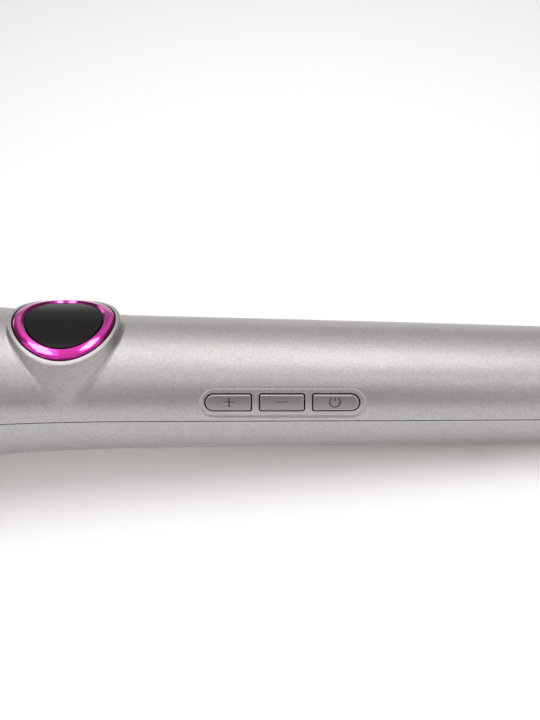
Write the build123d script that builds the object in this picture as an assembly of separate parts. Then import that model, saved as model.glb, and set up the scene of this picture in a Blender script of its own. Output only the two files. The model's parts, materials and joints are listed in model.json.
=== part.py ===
from build123d import *
import json
import math
import os

os.makedirs("parts", exist_ok=True)

# Conical curling iron: a tapered two-shell handle with a raised round display,
# three side buttons, a heated cone with a cool tip, a flip-out stand under the
# neck and a turning cord gland at the tail.
#
# Handle frame (mm), used for every piece below: X along the axis, -X towards
# the cone, +X towards the cord end, axis at y = z = 0, display on top (+Z),
# buttons on the -Y side. At the very end everything is tilted and lifted so
# that the iron stands on z = 0, on its open stand and the heel of its tail.

# ---- driving dimensions ----------------------------------------------------
WALL = 2.0                      # shell thickness
SEAM = 0.10                     # half the gap of the parting line
SEAM_Z, SEAM_TILT = 0.35, 0.24  # the parting plane's height at x = 0, and its slope in degrees
HANDLE = [(80.0, 15.45), (46.0, 16.28), (13.5, 16.96), (-19.0, 17.60), (-40.5, 18.08),
          (-56.0, 18.72), (-69.0, 19.60), (-80.0, 20.72), (-91.0, 21.70)]
X_TAIL, R_TAIL = 90.0, 10.5     # end face of the tail
X_FRONT, R_FRONT = -97.0, 19.0  # front face of the handle

LUG_X = -54.5                   # centre of the raised display
LUG_R, LUG_SLOPE = 14.87, 0.27                 # radius at the rim, and how much wider the flank gets per mm below the rim
SADDLE_R, SADDLE_TOP = 30.0, 20.42             # curved top of the lug
BEZEL_RO, BEZEL_RI = 13.60, 10.35
WINDOW_R = 10.25
BEZEL_PROUD, WINDOW_PROUD = 0.62, 0.12         # above the lug's curved top

KEY_X, KEY_ELEV = 3.45, 18.9    # centre of the button recess, elevation angle of its normal
KEY_TAPER = 1.17                # the handle's taper there, degrees
RECESS_L, RECESS_W, RECESS_D = 43.4, 7.8, 0.25
KEY_FLOOR = 16.80               # distance of the buttons' reference plane from the axis
KEY_H, KEY_V = 4.36, 0.15       # button height (its round end's diameter), and its shift up from the recess's middle
KEY_PROUD = 0.35                # button top above the recess floor
KEY_GAP = 0.33
KEY_TRAVEL = 0.5
KEYS = {"plus_button": (-20.29, -8.40), "minus_button": (-6.01, 5.50), "power_button": (7.92, 19.97)}
GLYPH_D = 0.15                  # depth of the engraved symbols, and their shifts along the buttons
SIGN_X = {"plus_button": 0.26, "minus_button": -0.03, "power_button": -0.37}

COLLAR_F, COLLAR_R0, COLLAR_R1 = -119.0, 18.5, 17.9
BARREL_X0, BARREL_X1 = -106.0, -279.0
CONE_REF, CONE_R, CONE_SLOPE = -119.0, 15.5, 6.5 / 160.0
BARREL_WALL = 1.2
TIP_END = -303.0

PIN_X, PIN_Z, PIN_R = -114.0, -20.6, 1.0
STAND_OPEN = 118.0              # degrees from closed to open
PIN_HIGH = 11.3                 # height of the pin when the iron rests on the open stand
PAD_T = 1.2                     # height of the stand's rubber foot
STAND_W = 10.0                  # half width of the stand

GLAND_BORE, BORE_STOP = 3.5, 91.2   # the cord's sheath goes in as far as the shoulder at BORE_STOP
CORE_BORE = 2.6                     # only the cord's two cores go on from there
BUSH_RI, GLAND_NECK = 8.15, 8.10


def cone_r(x):
    return CONE_R - CONE_SLOPE * (CONE_REF - x)


# ---- small helpers ---------------------------------------------------------
def cylx(x0, x1, r, y=0.0, z=0.0):
    return Pos((x0 + x1) / 2, y, z) * Rot(0, 90, 0) * Cylinder(r, abs(x1 - x0))


def cyly(y0, y1, r, x=0.0, z=0.0):
    return Pos(x, (y0 + y1) / 2, z) * Rot(90, 0, 0) * Cylinder(r, abs(y1 - y0))


def cylz(z0, z1, r, x=0.0, y=0.0):
    return Pos(x, y, (z0 + z1) / 2) * Cylinder(r, abs(z1 - z0))


def conex(x0, r0, x1, r1):
    """frustum along X, r0 at x0 and r1 at x1"""
    face = make_face(Polyline((x0, 0, 0), (x0, 0, r0), (x1, 0, r1), (x1, 0, 0), (x0, 0, 0)))
    return revolve(face, axis=Axis.X)


def box(x0, x1, y0, y1, z0, z1):
    return Pos((x0 + x1) / 2, (y0 + y1) / 2, (z0 + z1) / 2) * Box(x1 - x0, y1 - y0, z1 - z0)


def ringx(x0, x1, ro, ri, z=0.0):
    return cylx(x0, x1, ro, 0, z) - cylx(x0 - 1, x1 + 1, ri, 0, z)


def ringz(z0, z1, ro, ri, x=0.0, y=0.0):
    return cylz(z0, z1, ro, x, y) - cylz(z0 - 1, z1 + 1, ri, x, y)


def revx(pts):
    """revolve a closed polygon of (x, r) points about the axis"""
    p = [(x, 0, r) for x, r in pts]
    return revolve(make_face(Polyline(*p, p[0])), axis=Axis.X)


def radius_at(x):
    """the handle's outer radius, straight between its listed sections"""
    pts = sorted(HANDLE)
    for (a, ra), (b, rb) in zip(pts, pts[1:]):
        if a <= x <= b:
            return ra + (rb - ra) * (x - a) / (b - a)
    return pts[-1][1] if x > pts[-1][0] else pts[0][1]


def solid_of(thing):
    s = thing.solids()
    return s[0] if len(s) == 1 else Compound(children=list(s))


# ---- the handle's outer form and offsets of it -----------------------------
def handle_form(off=0.0):
    """solid of revolution inside the handle's surface, smaller by off"""
    pts = [(x, 0, r - off) for x, r in HANDLE]
    main = Spline(*pts, tangents=[(-1, 0, 0.024), (-1, 0, 0.045)])
    c, d = pts[0], pts[-1]
    b = (X_TAIL - off, 0, R_TAIL - off)
    e = (X_FRONT + off, 0, R_FRONT - off)
    tail = Bezier(b, (b[0], 0, b[2] + 2.9), (c[0] + 5.6, 0, c[2] - 0.13), c)
    nose = Bezier(d, (d[0] - 3.4, 0, d[2] + 0.15), (e[0], 0, e[2] + 1.9), e)
    lines = [Line((b[0], 0, 0), b), tail, main, nose, Line(e, (e[0], 0, 0)), Line((e[0], 0, 0), (b[0], 0, 0))]
    return revolve(make_face(Curve() + lines), axis=Axis.X)


outer = handle_form(0.0)
inner = handle_form(WALL)

# main cavity between the tail rib and the collar's seat
cavity = inner & box(-88.6, 77.5, -30, 30, -30, 30)
rear_pocket = cylx(79.5, 87.0, 11.0)                 # seat of the gland's bush and flange
openings = (cylx(77.0, 80.0, 6.9) + cylx(86.5, 91.0, 8.7)   # spindle and gland
            + cylx(-98.0, -88.0, 15.9) + cylx(-94.0, -90.6, 17.6))   # collar spigot and its flange

# raised lug for the display: drafted flank under a saddle-shaped top. The rim is round
# in plan and lies lower at the sides, so level sections of the flank are slightly oval.
z0, z1 = 4.0, 24.0
RIM_LOW = SADDLE_TOP - SADDLE_R + math.sqrt(SADDLE_R ** 2 - LUG_R ** 2)
lug_cone = loft([Plane.XY.offset(z) * Pos(LUG_X, 0) * Ellipse(LUG_R + LUG_SLOPE * (SADDLE_TOP - z), LUG_R + LUG_SLOPE * (RIM_LOW - z)) for z in (z0, z1)], ruled=True)


def saddle(drop=0.0):
    """everything under the lug's curved top, lowered by drop"""
    return cylx(LUG_X - 30, LUG_X + 30, SADDLE_R - drop, 0, SADDLE_TOP - SADDLE_R)


def saddle_z(y, drop=0.0):
    return SADDLE_TOP - SADDLE_R + math.sqrt((SADDLE_R - drop) ** 2 - y * y)


def soften(solid, radius, drop, r_lo, r_hi, cut=False):
    """round or chamfer the closed edges on the saddle surface whose plan radius lies between r_lo and r_hi"""
    chosen = []
    for e in solid.edges():
        p = e @ 0.31
        if abs(p.Z - saddle_z(p.Y, drop)) < 0.03 and r_lo < math.hypot(p.X - LUG_X, p.Y) < r_hi:
            chosen.append(e)
    if not chosen:
        print("no edge found to soften")
        return solid
    try:
        out = chamfer(chosen, radius) if cut else fillet(chosen, radius)
        return out if out.volume > 0 else solid
    except Exception as err:
        print("edge left sharp:", err)
        return solid


lug = soften(lug_cone & saddle(0.0), 0.6, 0.0, 14.0, 17.0)

seam_frame = Pos(0, 0, SEAM_Z) * Rot(0, SEAM_TILT, 0)
half_up = seam_frame * box(-110, 110, -40, 40, SEAM, 60)
half_dn = seam_frame * box(-110, 110, -40, 40, -60, -SEAM)

# ---- button recess frame ---------------------------------------------------
ce, se = math.cos(math.radians(KEY_ELEV)), math.sin(math.radians(KEY_ELEV))
ct, st = math.cos(math.radians(KEY_TAPER)), math.sin(math.radians(KEY_TAPER))
KEY_N = Vector(st, -ce * ct, se * ct)               # outward normal
KEY_XD = Vector(ct, ce * st, -se * st)
key_plane = Plane(origin=(KEY_X, -ce * KEY_FLOOR, se * KEY_FLOOR), x_dir=KEY_XD, z_dir=KEY_N)
KL = key_plane.location


def key_prism(sketch, za, zb):
    """extrude a sketch drawn in the recess frame from za to zb along its normal"""
    return KL * (Pos(0, 0, za) * extrude(sketch, zb - za))


def key_outline(name, grow=0.0):
    """a button's outline: the outer buttons have one round end, all other corners are slightly rounded"""
    a, b = KEYS[name]
    body = Pos((a + b) / 2, KEY_V) * RectangleRounded(b - a + 2 * grow, KEY_H + 2 * grow, 0.4 + grow)
    slot = SlotOverall(2 * (b - a), KEY_H + 2 * grow)
    if name == "plus_button":
        return (Pos(a - grow + (b - a), KEY_V) * slot) & body
    if name == "power_button":
        return (Pos(b + grow - (b - a), KEY_V) * slot) & body
    return body


floor_form = handle_form(RECESS_D)
recess = key_prism(SlotOverall(RECESS_L, RECESS_W), -3.0, 4.0) - floor_form
pad = key_prism(RectangleRounded(56.0, 10.6, 1.0), -2.0, 1.0) & handle_form(1.0)   # flat seat behind the keys

# ---- shells ----------------------------------------------------------------
upper = (outer & half_up) + lug
upper = upper - cavity - rear_pocket - openings
upper = upper + (pad & half_up)
upper = upper - recess
for name in KEYS:
    upper = upper - key_prism(key_outline(name, KEY_GAP), -4.0, 4.0)
# seat for the bezel and the hole through to the display
upper = upper - (cylz(10, 30, BEZEL_RO + 0.12, LUG_X) - saddle(2.0))
upper = upper - cylz(8, 30, 11.6, LUG_X)

KEY_BOSS = 25.6
for sx in (-1, 1):
    upper = upper + (key_prism(Pos(sx * KEY_BOSS, 0) * Circle(1.9), -6.6, -1.5))
    upper = upper - (key_prism(Pos(sx * KEY_BOSS, 0) * Circle(0.85), -6.7, -2.2))

# screw bosses: (x, y, z of the screw head's seat)
CASE = [(57.0, 8.5, -8.6), (57.0, -8.5, -8.6), (-81.0, 12.0, -11.6), (-81.0, -12.0, -11.6)]
for x, y, seat in CASE:
    upper = upper + (cylz(-2, 20, 3.0, x, y) & inner & half_up) - cylz(-3, 9.0, 1.3, x, y)
# rebate that takes the lower shell's lip
upper = upper - ((handle_form(0.95) - handle_form(WALL + 0.6)) & (seam_frame * box(-88, 77.3, -40, 40, -1, 1.7)))

lower = (outer & half_dn) - cavity - rear_pocket - openings
lower = lower + ((handle_form(1.05) - handle_form(WALL)) & (seam_frame * box(-87.8, 77.1, -40, 40, -1.5, 1.5)))
for x, y, seat in CASE:
    lower = lower + (cylz(-20, 2, 3.9, x, y) & inner & half_dn)
    lower = lower - cylz(-30, seat, 2.7, x, y) - cylz(-30, 3, 1.5, x, y)
# cradle for the contact block of the turning cord gland
cradle = box(64.0, 76.2, -8.0, 8.0, -20, -12.55) + box(64.0, 76.2, -8.0, -6.6, -20, -9.4) + box(64.0, 76.2, 6.6, 8.0, -20, -9.4)
lower = lower + (cradle & inner)
BOARD_TOP, BOARD_T = -2.6, 1.6
BOARD_SCREWS = [(-64.0, 9.0), (-64.0, -9.0), (40.0, 8.5), (40.0, -8.5)]
for x, y in BOARD_SCREWS:
    lower = lower + (cylz(-20, BOARD_TOP - BOARD_T, 2.8, x, y) & inner)
    lower = lower - cylz(BOARD_TOP - BOARD_T - 5.5, 2, 0.95, x, y)

# ---- display ---------------------------------------------------------------
bezel = (ringz(10, 30, BEZEL_RO, BEZEL_RI, LUG_X) & saddle(-BEZEL_PROUD)) - saddle(1.95)
bezel = soften(bezel, 0.5, -BEZEL_PROUD, BEZEL_RO - 0.2, BEZEL_RO + 0.2)
bezel = soften(bezel, 0.48, -BEZEL_PROUD, BEZEL_RI - 0.2, BEZEL_RI + 0.2, cut=True)
window = (cylz(10, 30, WINDOW_R, LUG_X) & saddle(-WINDOW_PROUD)) - saddle(1.9)
holder = cylz(11.5, 30, 11.4, LUG_X) & saddle(2.0)
holder = holder - box(LUG_X - 8.6, LUG_X + 8.6, -7.6, 7.6, 12.6, 30) - box(LUG_X - 6.5, LUG_X + 6.5, -5.5, 5.5, 10, 30)
display_module = (box(LUG_X - 8.5, LUG_X + 8.5, -7.5, 7.5, 12.6, 15.4) + box(LUG_X - 7.4, LUG_X + 7.4, -6.4, 6.4, 15.4, 16.6))
FX = LUG_X + 5.9                                    # the flex runs down beside this line
flex = extrude(
    Plane.XZ.offset(4.5) * make_face(Polyline((FX, 12.55), (FX + 0.4, 12.55), (FX + 0.4, 4.4), (FX + 3.4, -0.4), (FX + 3.4, -0.9),
                                              (FX + 2.95, -0.9), (FX + 2.95, -0.5), (FX, 4.2), (FX, 12.55))), 9.0, dir=(0, 1, 0))

# ---- buttons, switches and their board -------------------------------------
key_top = handle_form(RECESS_D - KEY_PROUD)
glyph_form = handle_form(RECESS_D - KEY_PROUD + GLYPH_D)
buttons, plungers = {}, {}
for name, (a, b) in KEYS.items():
    cx = (a + b) / 2
    mid_up = Pos(cx, KEY_V)
    cap = key_prism(key_outline(name), -2.1, 4.0) & key_top
    try:
        tops = [e for e in cap.edges() if (e.center() - key_plane.origin).dot(KEY_N) > -0.3]
        c2 = chamfer(tops, 0.22)
        if c2.volume > 0:
            cap = c2
    except Exception as err:
        print(name, "edge left sharp:", err)
    sign = Pos((a + b) / 2 + SIGN_X[name], KEY_V + 0.17)
    if name == "plus_button":
        g = sign * (Rectangle(3.0, 0.4) + Rectangle(0.4, 2.8))
    elif name == "minus_button":
        g = sign * Rectangle(3.1, 0.4)
    else:
        g = sign * (((Circle(1.55) - Circle(1.2)) - Pos(0, 1.3) * Rectangle(1.3, 1.6)) + Pos(0, 0.76) * Rectangle(0.34, 1.32))
    cap = cap - (key_prism(g, -1.0, 4.0) - glyph_form)
    flange = key_prism(key_outline(name, 0.75), -2.9, -2.1)
    stem = key_prism(mid_up * Circle(1.3), -3.6, -2.8)
    buttons[name] = cap + flange + stem
    plungers[name.replace("button", "plunger")] = key_prism(mid_up * Circle(1.45), -5.3, -3.6)
switches = []
for name, (a, b) in KEYS.items():
    cx = (a + b) / 2
    s = key_prism(Pos(cx, KEY_V) * RectangleRounded(5.6, 5.6, 0.4), -6.6, -4.3) - key_prism(Pos(cx, KEY_V) * Circle(1.55), -5.95, -4.2)
    switches.append(s)
switches = Compound(children=[solid_of(s) for s in switches])
key_board = key_prism(RectangleRounded(55.0, 8.6, 0.8), -7.8, -6.6)
key_screws = []
for sx in (-1, 1):
    key_board = key_board - key_prism(Pos(sx * KEY_BOSS, 0) * Circle(1.0), -8, -6)
    s = key_prism(Pos(sx * KEY_BOSS, 0) * Circle(1.5), -8.8, -7.8) + key_prism(Pos(sx * KEY_BOSS, 0) * Circle(0.8), -7.9, -3.2)
    s = s - key_prism(Pos(sx * KEY_BOSS, 0) * (Rectangle(1.8, 0.35) + Rectangle(0.35, 1.8)), -9.0, -8.4)
    key_screws.append(solid_of(s))
key_screws = Compound(children=key_screws)

# ---- main board ------------------------------------------------------------
control_board = box(-73.0, 48.0, -12.0, 12.0, BOARD_TOP - BOARD_T, BOARD_TOP)
for x, y in BOARD_SCREWS:
    control_board = control_board - cylz(-6, 0, 1.1, x, y)
board_screws = Compound(children=[solid_of(
    (cylz(BOARD_TOP, BOARD_TOP + 1.3, 1.8, x, y) + cylz(BOARD_TOP - 6.0, BOARD_TOP + 0.2, 0.9, x, y))
    - box(x - 1.1, x + 1.1, y - 0.2, y + 0.2, BOARD_TOP + 0.7, 2) - box(x - 0.2, x + 0.2, y - 1.1, y + 1.1, BOARD_TOP + 0.7, 2))
    for x, y in BOARD_SCREWS])
T = BOARD_TOP
comps = [
    box(FX - 0.2, FX + 5.6, -5.2, 5.2, T, T + 0.9) + box(FX - 0.2, FX + 2.85, -5.2, 5.2, T + 0.8, T + 1.9) + box(FX + 3.5, FX + 5.6, -5.2, 5.2, T + 0.8, T + 1.9),  # flex socket
    box(-36.0, -28.0, -2.0, 6.0, T, T + 1.2),                        # controller chip
    cylz(T, T + 9.0, 4.0, 30.0, 4.5),                                # reservoir capacitor
    box(18.0, 24.0, -1.0, 9.0, T, T + 8.0),                          # film capacitor
    box(4.0, 13.5, 1.5, 9.0, T, T + 6.5),                            # isolating inductor
    box(-17.0, -12.5, 1.0, 11.0, T, T + 3.0) + box(-16.2, -15.3, 1.0, 11.0, T + 2.9, T + 7.0),   # triac and its fin
    box(-72.0, -67.5, -6.0, 6.0, T, T + 3.2),                        # heater terminal
    box(42.6, 47.4, -6.0, 6.0, T, T + 3.2),                          # mains terminal
    cylx(-4.0, -1.0 + 3.0, 1.1, -8.6, T + 1.1),                      # glass fuse
]
board_parts = Compound(children=[solid_of(c) for c in comps])

# ---- case screws -----------------------------------------------------------
screws = []
for x, y, seat in CASE:
    s = cylz(seat - 1.8, seat, 2.4, x, y) + cylz(seat - 0.5, 7.6, 1.25, x, y)
    s = s - box(x - 1.5, x + 1.5, y - 0.28, y + 0.28, seat - 3, seat - 0.9) - box(x - 0.28, x + 0.28, y - 1.5, y + 1.5, seat - 3, seat - 0.9)
    screws.append(solid_of(s))
case_screws = Compound(children=screws)

# ---- heat-guard collar -----------------------------------------------------
SCREW_Z = 11.2                                                # the two axial screws that clamp the cone's holder
collar = revx([(-97.3, 16.6), (-97.3, 18.1), (-97.7, COLLAR_R0), (-117.6, COLLAR_R1), (-118.6, COLLAR_R1 - 0.35), (COLLAR_F, COLLAR_R1 - 1.0),
               (COLLAR_F, 15.8), (-116.2, 15.8), (-116.2, 16.45), (-103.4, 16.45), (-103.4, 7.0), (-101.0, 7.0), (-101.0, 13.4),
               (-91.8, 13.4), (-91.8, 17.2), (-93.7, 17.2), (-93.7, 15.6), (-97.3, 15.6)])
for gx in (-100.6, -103.6, -106.6):                           # shallow cooling grooves
    gr = COLLAR_R0 - (COLLAR_R0 - COLLAR_R1) * (-97.7 - gx) / 19.9
    collar = collar - ringx(gx - 0.6, gx + 0.6, gr + 2, gr - 0.5)
for sy in (-1, 1):                                            # the stand's two lugs
    lo, hi = min(sy * 8.2, sy * 10.9), max(sy * 8.2, sy * 10.9)
    ear = cyly(lo, hi, 2.15, PIN_X, PIN_Z) + box(PIN_X - 2.15, PIN_X + 2.15, lo, hi, PIN_Z, -14.0)
    collar = collar + (ear - cylx(-125, -90, 17.0))
    collar = collar - cyly(lo - 0.2, hi + 0.2, PIN_R + 0.02, PIN_X, PIN_Z)
    collar = collar - cylx(-104, -100, 1.3, 0, sy * SCREW_Z)
stand_pin = cyly(-11.3, 11.3, PIN_R, PIN_X, PIN_Z)

# ---- flip-out stand: drawn closed round the collar, then turned open about its pin ----
TURN = Pos(PIN_X, 0, PIN_Z) * Rot(0, STAND_OPEN, 0) * Pos(-PIN_X, 0, -PIN_Z)
blade = ringx(PIN_X + 3.2, PIN_X + 20.0, 21.2, 18.95) & box(-120, -90, -STAND_W, STAND_W, -30, -5)
knuckle = cyly(-7.9, 7.9, 1.85, PIN_X, PIN_Z)
web = box(PIN_X, PIN_X + 3.6, -7.9, 7.9, -21.3, -19.4) & ringx(-120, -90, 22.45, 19.05)
ribs = []
for gy in (-7.5, -5.0, -2.5, 0.0, 2.5, 5.0, 7.5):                         # finger grooves on the outer face
    ribs.append(box(PIN_X + 5.5, PIN_X + 9.0, gy - 0.5, gy + 0.5, -24, -5) - cylx(-125, -90, 20.9))
frame = TURN * (blade + knuckle + web)
for r_ in ribs:
    frame = frame - TURN * r_
heel = extrude(Plane.XZ.offset(3.0) * make_face(Polyline((PIN_X - 0.6, PIN_Z), (PIN_X - 0.6, PIN_Z + 4), (PIN_X - 2.7, PIN_Z + 4), (PIN_X - 2.3, PIN_Z),
                                                         (PIN_X - 0.6, PIN_Z))), 6.0, dir=(0, 1, 0)) - cylx(-125, -90, 18.05)
frame = (frame + heel) - cyly(-9, 9, PIN_R + 0.06, PIN_X, PIN_Z)


def tail_profile():
    b, c = (X_TAIL, R_TAIL), HANDLE[0]
    cp = [b, (b[0], b[1] + 2.9), (c[0] + 5.6, c[1] - 0.13), c]
    for i in range(401):
        t = i / 400
        k = [(1 - t) ** 3, 3 * t * (1 - t) ** 2, 3 * t * t * (1 - t), t ** 3]
        yield sum(k[j] * cp[j][0] for j in range(4)), sum(k[j] * cp[j][1] for j in range(4))


# the iron leans on its open stand and the heel of its tail: find that lean
TILT = 0.0
for _ in range(60):
    s, c = math.sin(TILT), math.cos(TILT)
    GROUND, tail_x = min((-x * s - r * c, x) for x, r in tail_profile())
    TILT -= (-PIN_X * s + PIN_Z * c - GROUND - PIN_HIGH) / (tail_x - PIN_X)
s, c = math.sin(TILT), math.cos(TILT)
GROUND, tail_x = min((-x * s - r * c, x) for x, r in tail_profile())
TILT_DEG = math.degrees(TILT)
STAND = Pos(0, 0, -GROUND) * Rot(0, TILT_DEG, 0)
stand = frame - (STAND.inverse() * box(-220, 0, -40, 40, -40, PAD_T))
pad_s = (TURN * (blade & box(PIN_X + 6.0, -90, -40, 40, -40, 0))) & (STAND.inverse() * box(-220, 0, -40, 40, 0, PAD_T))

# ---- cone ------------------------------------------------------------------
barrel = conex(BARREL_X0, cone_r(BARREL_X0), BARREL_X1, cone_r(BARREL_X1)) - conex(
    BARREL_X0 + 1, cone_r(BARREL_X0 + 1) - BARREL_WALL, BARREL_X1 - 1, cone_r(BARREL_X1 - 1) - BARREL_WALL)
holder_plug = revx([(-103.5, 0), (-103.5, 16.2), (-105.9, 16.2), (-105.9, cone_r(-105.9) - BARREL_WALL - 0.05),
                    (-117.5, cone_r(-117.5) - BARREL_WALL - 0.05), (-117.5, 0)]) - cylx(-119, -102, 4.2)
holder_screws = []
for sz in (-1, 1):
    holder_plug = holder_plug - cylx(-114, -103, 1.1, 0, sz * SCREW_Z)
    hs = cylx(-101.0, -99.4, 2.0, 0, sz * SCREW_Z) + cylx(-112.5, -100.5, 1.05, 0, sz * SCREW_Z)
    hs = hs - box(-100.2, -99, -1.3, 1.3, sz * SCREW_Z - 0.25, sz * SCREW_Z + 0.25) - box(-100.2, -99, -0.25, 0.25, sz * SCREW_Z - 1.3, sz * SCREW_Z + 1.3)
    holder_screws.append(solid_of(hs))
holder_screws = Compound(children=holder_screws)

# heater: a ceramic strip between two sprung aluminium spreaders
heater_plate = box(-250.0, -132.0, -4.6, 4.6, -0.8, 0.8)


def spreader(sign):
    xa, xb = -146.0, -246.0
    skin = conex(xa, cone_r(xa) - BARREL_WALL - 0.15, xb, cone_r(xb) - BARREL_WALL - 0.15) - conex(
        xa + 1, cone_r(xa + 1) - BARREL_WALL - 1.45, xb - 1, cone_r(xb - 1) - BARREL_WALL - 1.45)
    core = conex(xa, cone_r(xa) - BARREL_WALL - 0.2, xb, cone_r(xb) - BARREL_WALL - 0.2)
    skin = skin & box(xb, xa, -7, 7, 0.85, 30)
    web_ = core & box(xb, xa, -1.1, 1.1, 2.0, 30)
    base = core & box(xb, xa, -4.6, 4.6, 0.85, 2.3)
    s_ = skin + web_ + base
    return s_ if sign > 0 else Rot(180, 0, 0) * s_


spreader_up, spreader_dn = spreader(1), spreader(-1)
thermistor = (cylx(-142.0, -137.0, 1.1, 2.4, 1.95) + Pos(-142.0, 2.4, 1.95) * Sphere(1.1)
              + cylx(-137.2, -133.0, 0.35, 1.9, 1.95) + cylx(-137.2, -133.0, 0.35, 2.9, 1.95))
thermal_fuse = cylx(-130.0, -121.2, 1.7, 2.6, 0.0) + cylx(-131.9, -119.3, 0.45, 2.6, 0.0)

tip_plug = revx([(-266.0, 0), (-266.0, 7.74), (-279.2, 7.74), (-279.2, 8.9), (-281.3, 8.9), (-281.3, 6.6), (-283.2, 6.6), (-283.2, 0)]) - cylx(-284, -270, 1.3)
tip = make_face(Curve() + [
    Line((-281.5, 0, 6.8), (-281.5, 0, 9.4)), Bezier((-281.5, 0, 9.4), (-281.7, 0, 9.95), (-282.6, 0, 10.0), (-283.6, 0, 9.95)),
    Line((-283.6, 0, 9.95), (-294.0, 0, 9.1)), Bezier((-294.0, 0, 9.1), (-299.0, 0, 8.7), (-302.2, 0, 7.6), (TIP_END, 0, 4.4)),
    Line((TIP_END, 0, 4.4), (TIP_END, 0, 0)), Line((TIP_END, 0, 0), (-294.5, 0, 0)), Line((-294.5, 0, 0), (-294.5, 0, 6.8)),
    Line((-294.5, 0, 6.8), (-281.5, 0, 6.8))])
tip = revolve(tip, axis=Axis.X)
tip = tip - cylx(TIP_END - 1, TIP_END + 3.2, 2.7) - cylx(TIP_END - 1, -293, 1.45)
for gx in (-286.4, -289.0, -291.6):
    tip = tip - ringx(gx - 0.45, gx + 0.45, 12, 9.62 - (-283.6 - gx) * 0.0817 - 0.13)
tip_screw = cylx(TIP_END + 1.3, TIP_END + 3.1, 2.3) + cylx(TIP_END + 3.0, -272.5, 1.2)
tip_screw = tip_screw - box(TIP_END, TIP_END + 2.3, -1.5, 1.5, -0.28, 0.28) - box(TIP_END, TIP_END + 2.3, -0.28, 0.28, -1.5, 1.5)

# ---- tail: turning cord gland ----------------------------------------------
gp = make_face(Curve() + [
    Line((82.4, 0, CORE_BORE), (82.4, 0, GLAND_NECK)), Line((82.4, 0, GLAND_NECK), (90.5, 0, GLAND_NECK)), Line((90.5, 0, GLAND_NECK), (90.5, 0, 9.2)),
    Bezier((90.5, 0, 9.2), (90.5, 0, 9.75), (91.0, 0, 9.9), (91.6, 0, 9.75)), Bezier((91.6, 0, 9.75), (95.0, 0, 8.9), (97.5, 0, 7.0), (102.0, 0, 6.5)),
    Bezier((102.0, 0, 6.5), (103.2, 0, 6.4), (103.6, 0, 6.0), (103.6, 0, 5.2)), Line((103.6, 0, 5.2), (103.6, 0, GLAND_BORE)),
    Line((103.6, 0, GLAND_BORE), (BORE_STOP, 0, GLAND_BORE)), Line((BORE_STOP, 0, GLAND_BORE), (BORE_STOP, 0, CORE_BORE)),
    Line((BORE_STOP, 0, CORE_BORE), (82.4, 0, CORE_BORE))])
gland = revolve(gp, axis=Axis.X)
spindle = revx([(62.0, 2.2), (62.0, 4.5), (79.9, 4.5), (79.9, 10.5), (82.2, 10.5), (82.2, 8.1), (82.4, 8.1), (82.4, 2.2)])
slip_rings = Compound(children=[solid_of(ringx(x, x + 2.6, 6.2, 4.5)) for x in (65.6, 71.8)])
bush = ringx(82.6, 86.9, 10.9, BUSH_RI)
block = box(64.6, 75.6, -6.5, 6.5, -12.5, -8.6) & cylx(60, 80, 13.2)
contacts = []
for x in (66.0, 72.2):
    leaf = Pos(x, 0, 0) * Rot(0, 0, 0) * extrude(Plane.YZ * make_face(Polyline((-4.4, -8.6), (-3.9, -8.6), (-0.9, -6.75), (0.9, -6.75), (3.9, -8.6), (4.4, -8.6),
                                                                              (1.05, -6.35), (-1.05, -6.35), (-4.4, -8.6))), 1.8)
    contacts.append(solid_of(leaf))
contacts = Compound(children=contacts)


# ---- inner wires -----------------------------------------------------------
def wire(pts, r, radius):
    path = FilletPolyline(*pts, radius=radius)
    start = Plane(origin=path @ 0, z_dir=path % 0)
    return sweep(start * Circle(r), path=path)


hot = []
for sy, end in ((-1, -131.8), (1, -119.2)):
    hot.append(solid_of(wire([(-72.2, sy * 3.4, -0.6), (-82.0, sy * 3.4, -0.4), (-92.0, sy * 2.2, 0.9), (-106.0, sy * 2.2, 0.4), (end, sy * 2.6, 0.0)], 0.75, 12)))
heater_leads = Compound(children=hot)
supply = []
for sy in (-1, 1):
    supply.append(solid_of(wire([(47.6, sy * 3.4, -0.9), (53.0, sy * 3.4, -2.0), (57.5, sy * 3.6, -7.6), (64.1, sy * 3.6, -10.3)], 0.8, 3.5)))
mains_leads = Compound(children=supply)

# ---- write, standing on z = 0 with the origin under the middle of the box ----
NODES = {
    "upper_shell": upper, "lower_shell": lower,
    "display_bezel": bezel, "display_window": window, "display_holder": holder, "display_module": display_module, "display_flex": flex,
    **buttons, **plungers, "tact_switches": switches, "key_board": key_board, "key_board_screws": key_screws,
    "control_board": control_board, "board_components": board_parts, "board_screws": board_screws, "case_screws": case_screws,
    "heat_collar": collar, "stand_pin": stand_pin, "stand_foot": stand, "stand_pad": pad_s,
    "barrel": barrel, "barrel_holder": holder_plug, "holder_screws": holder_screws, "heater_plate": heater_plate,
    "heat_spreader_upper": spreader_up, "heat_spreader_lower": spreader_dn, "thermistor": thermistor, "thermal_fuse": thermal_fuse,
    "tip_plug": tip_plug, "cool_tip": tip, "tip_screw": tip_screw,
    "swivel_gland": gland, "swivel_spindle": spindle, "slip_rings": slip_rings, "swivel_bush": bush,
    "contact_block": block, "contact_springs": contacts, "heater_leads": heater_leads, "mains_leads": mains_leads,
}
placed = {n: STAND * solid_of(s) for n, s in NODES.items()}
boxes = [s.bounding_box() for s in placed.values()]
DX = -(min(b.min.X for b in boxes) + max(b.max.X for b in boxes)) / 2
DY = -(min(b.min.Y for b in boxes) + max(b.max.Y for b in boxes)) / 2
for name, shape in placed.items():
    export_step(Pos(DX, DY, 0) * shape, f"parts/{name}.step")
print(json.dumps({"tilt_deg": TILT_DEG, "ground": GROUND, "dx": DX, "dy": DY, "low": min(b.min.Z for b in boxes),
                  "key_n": [KEY_N.X, KEY_N.Y, KEY_N.Z], "tail_x": tail_x}))
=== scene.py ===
import bmesh
import bpy
import json
import math
import numpy as np
from mathutils import Matrix, Vector
from mathutils.geometry import delaunay_2d_cdt


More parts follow.
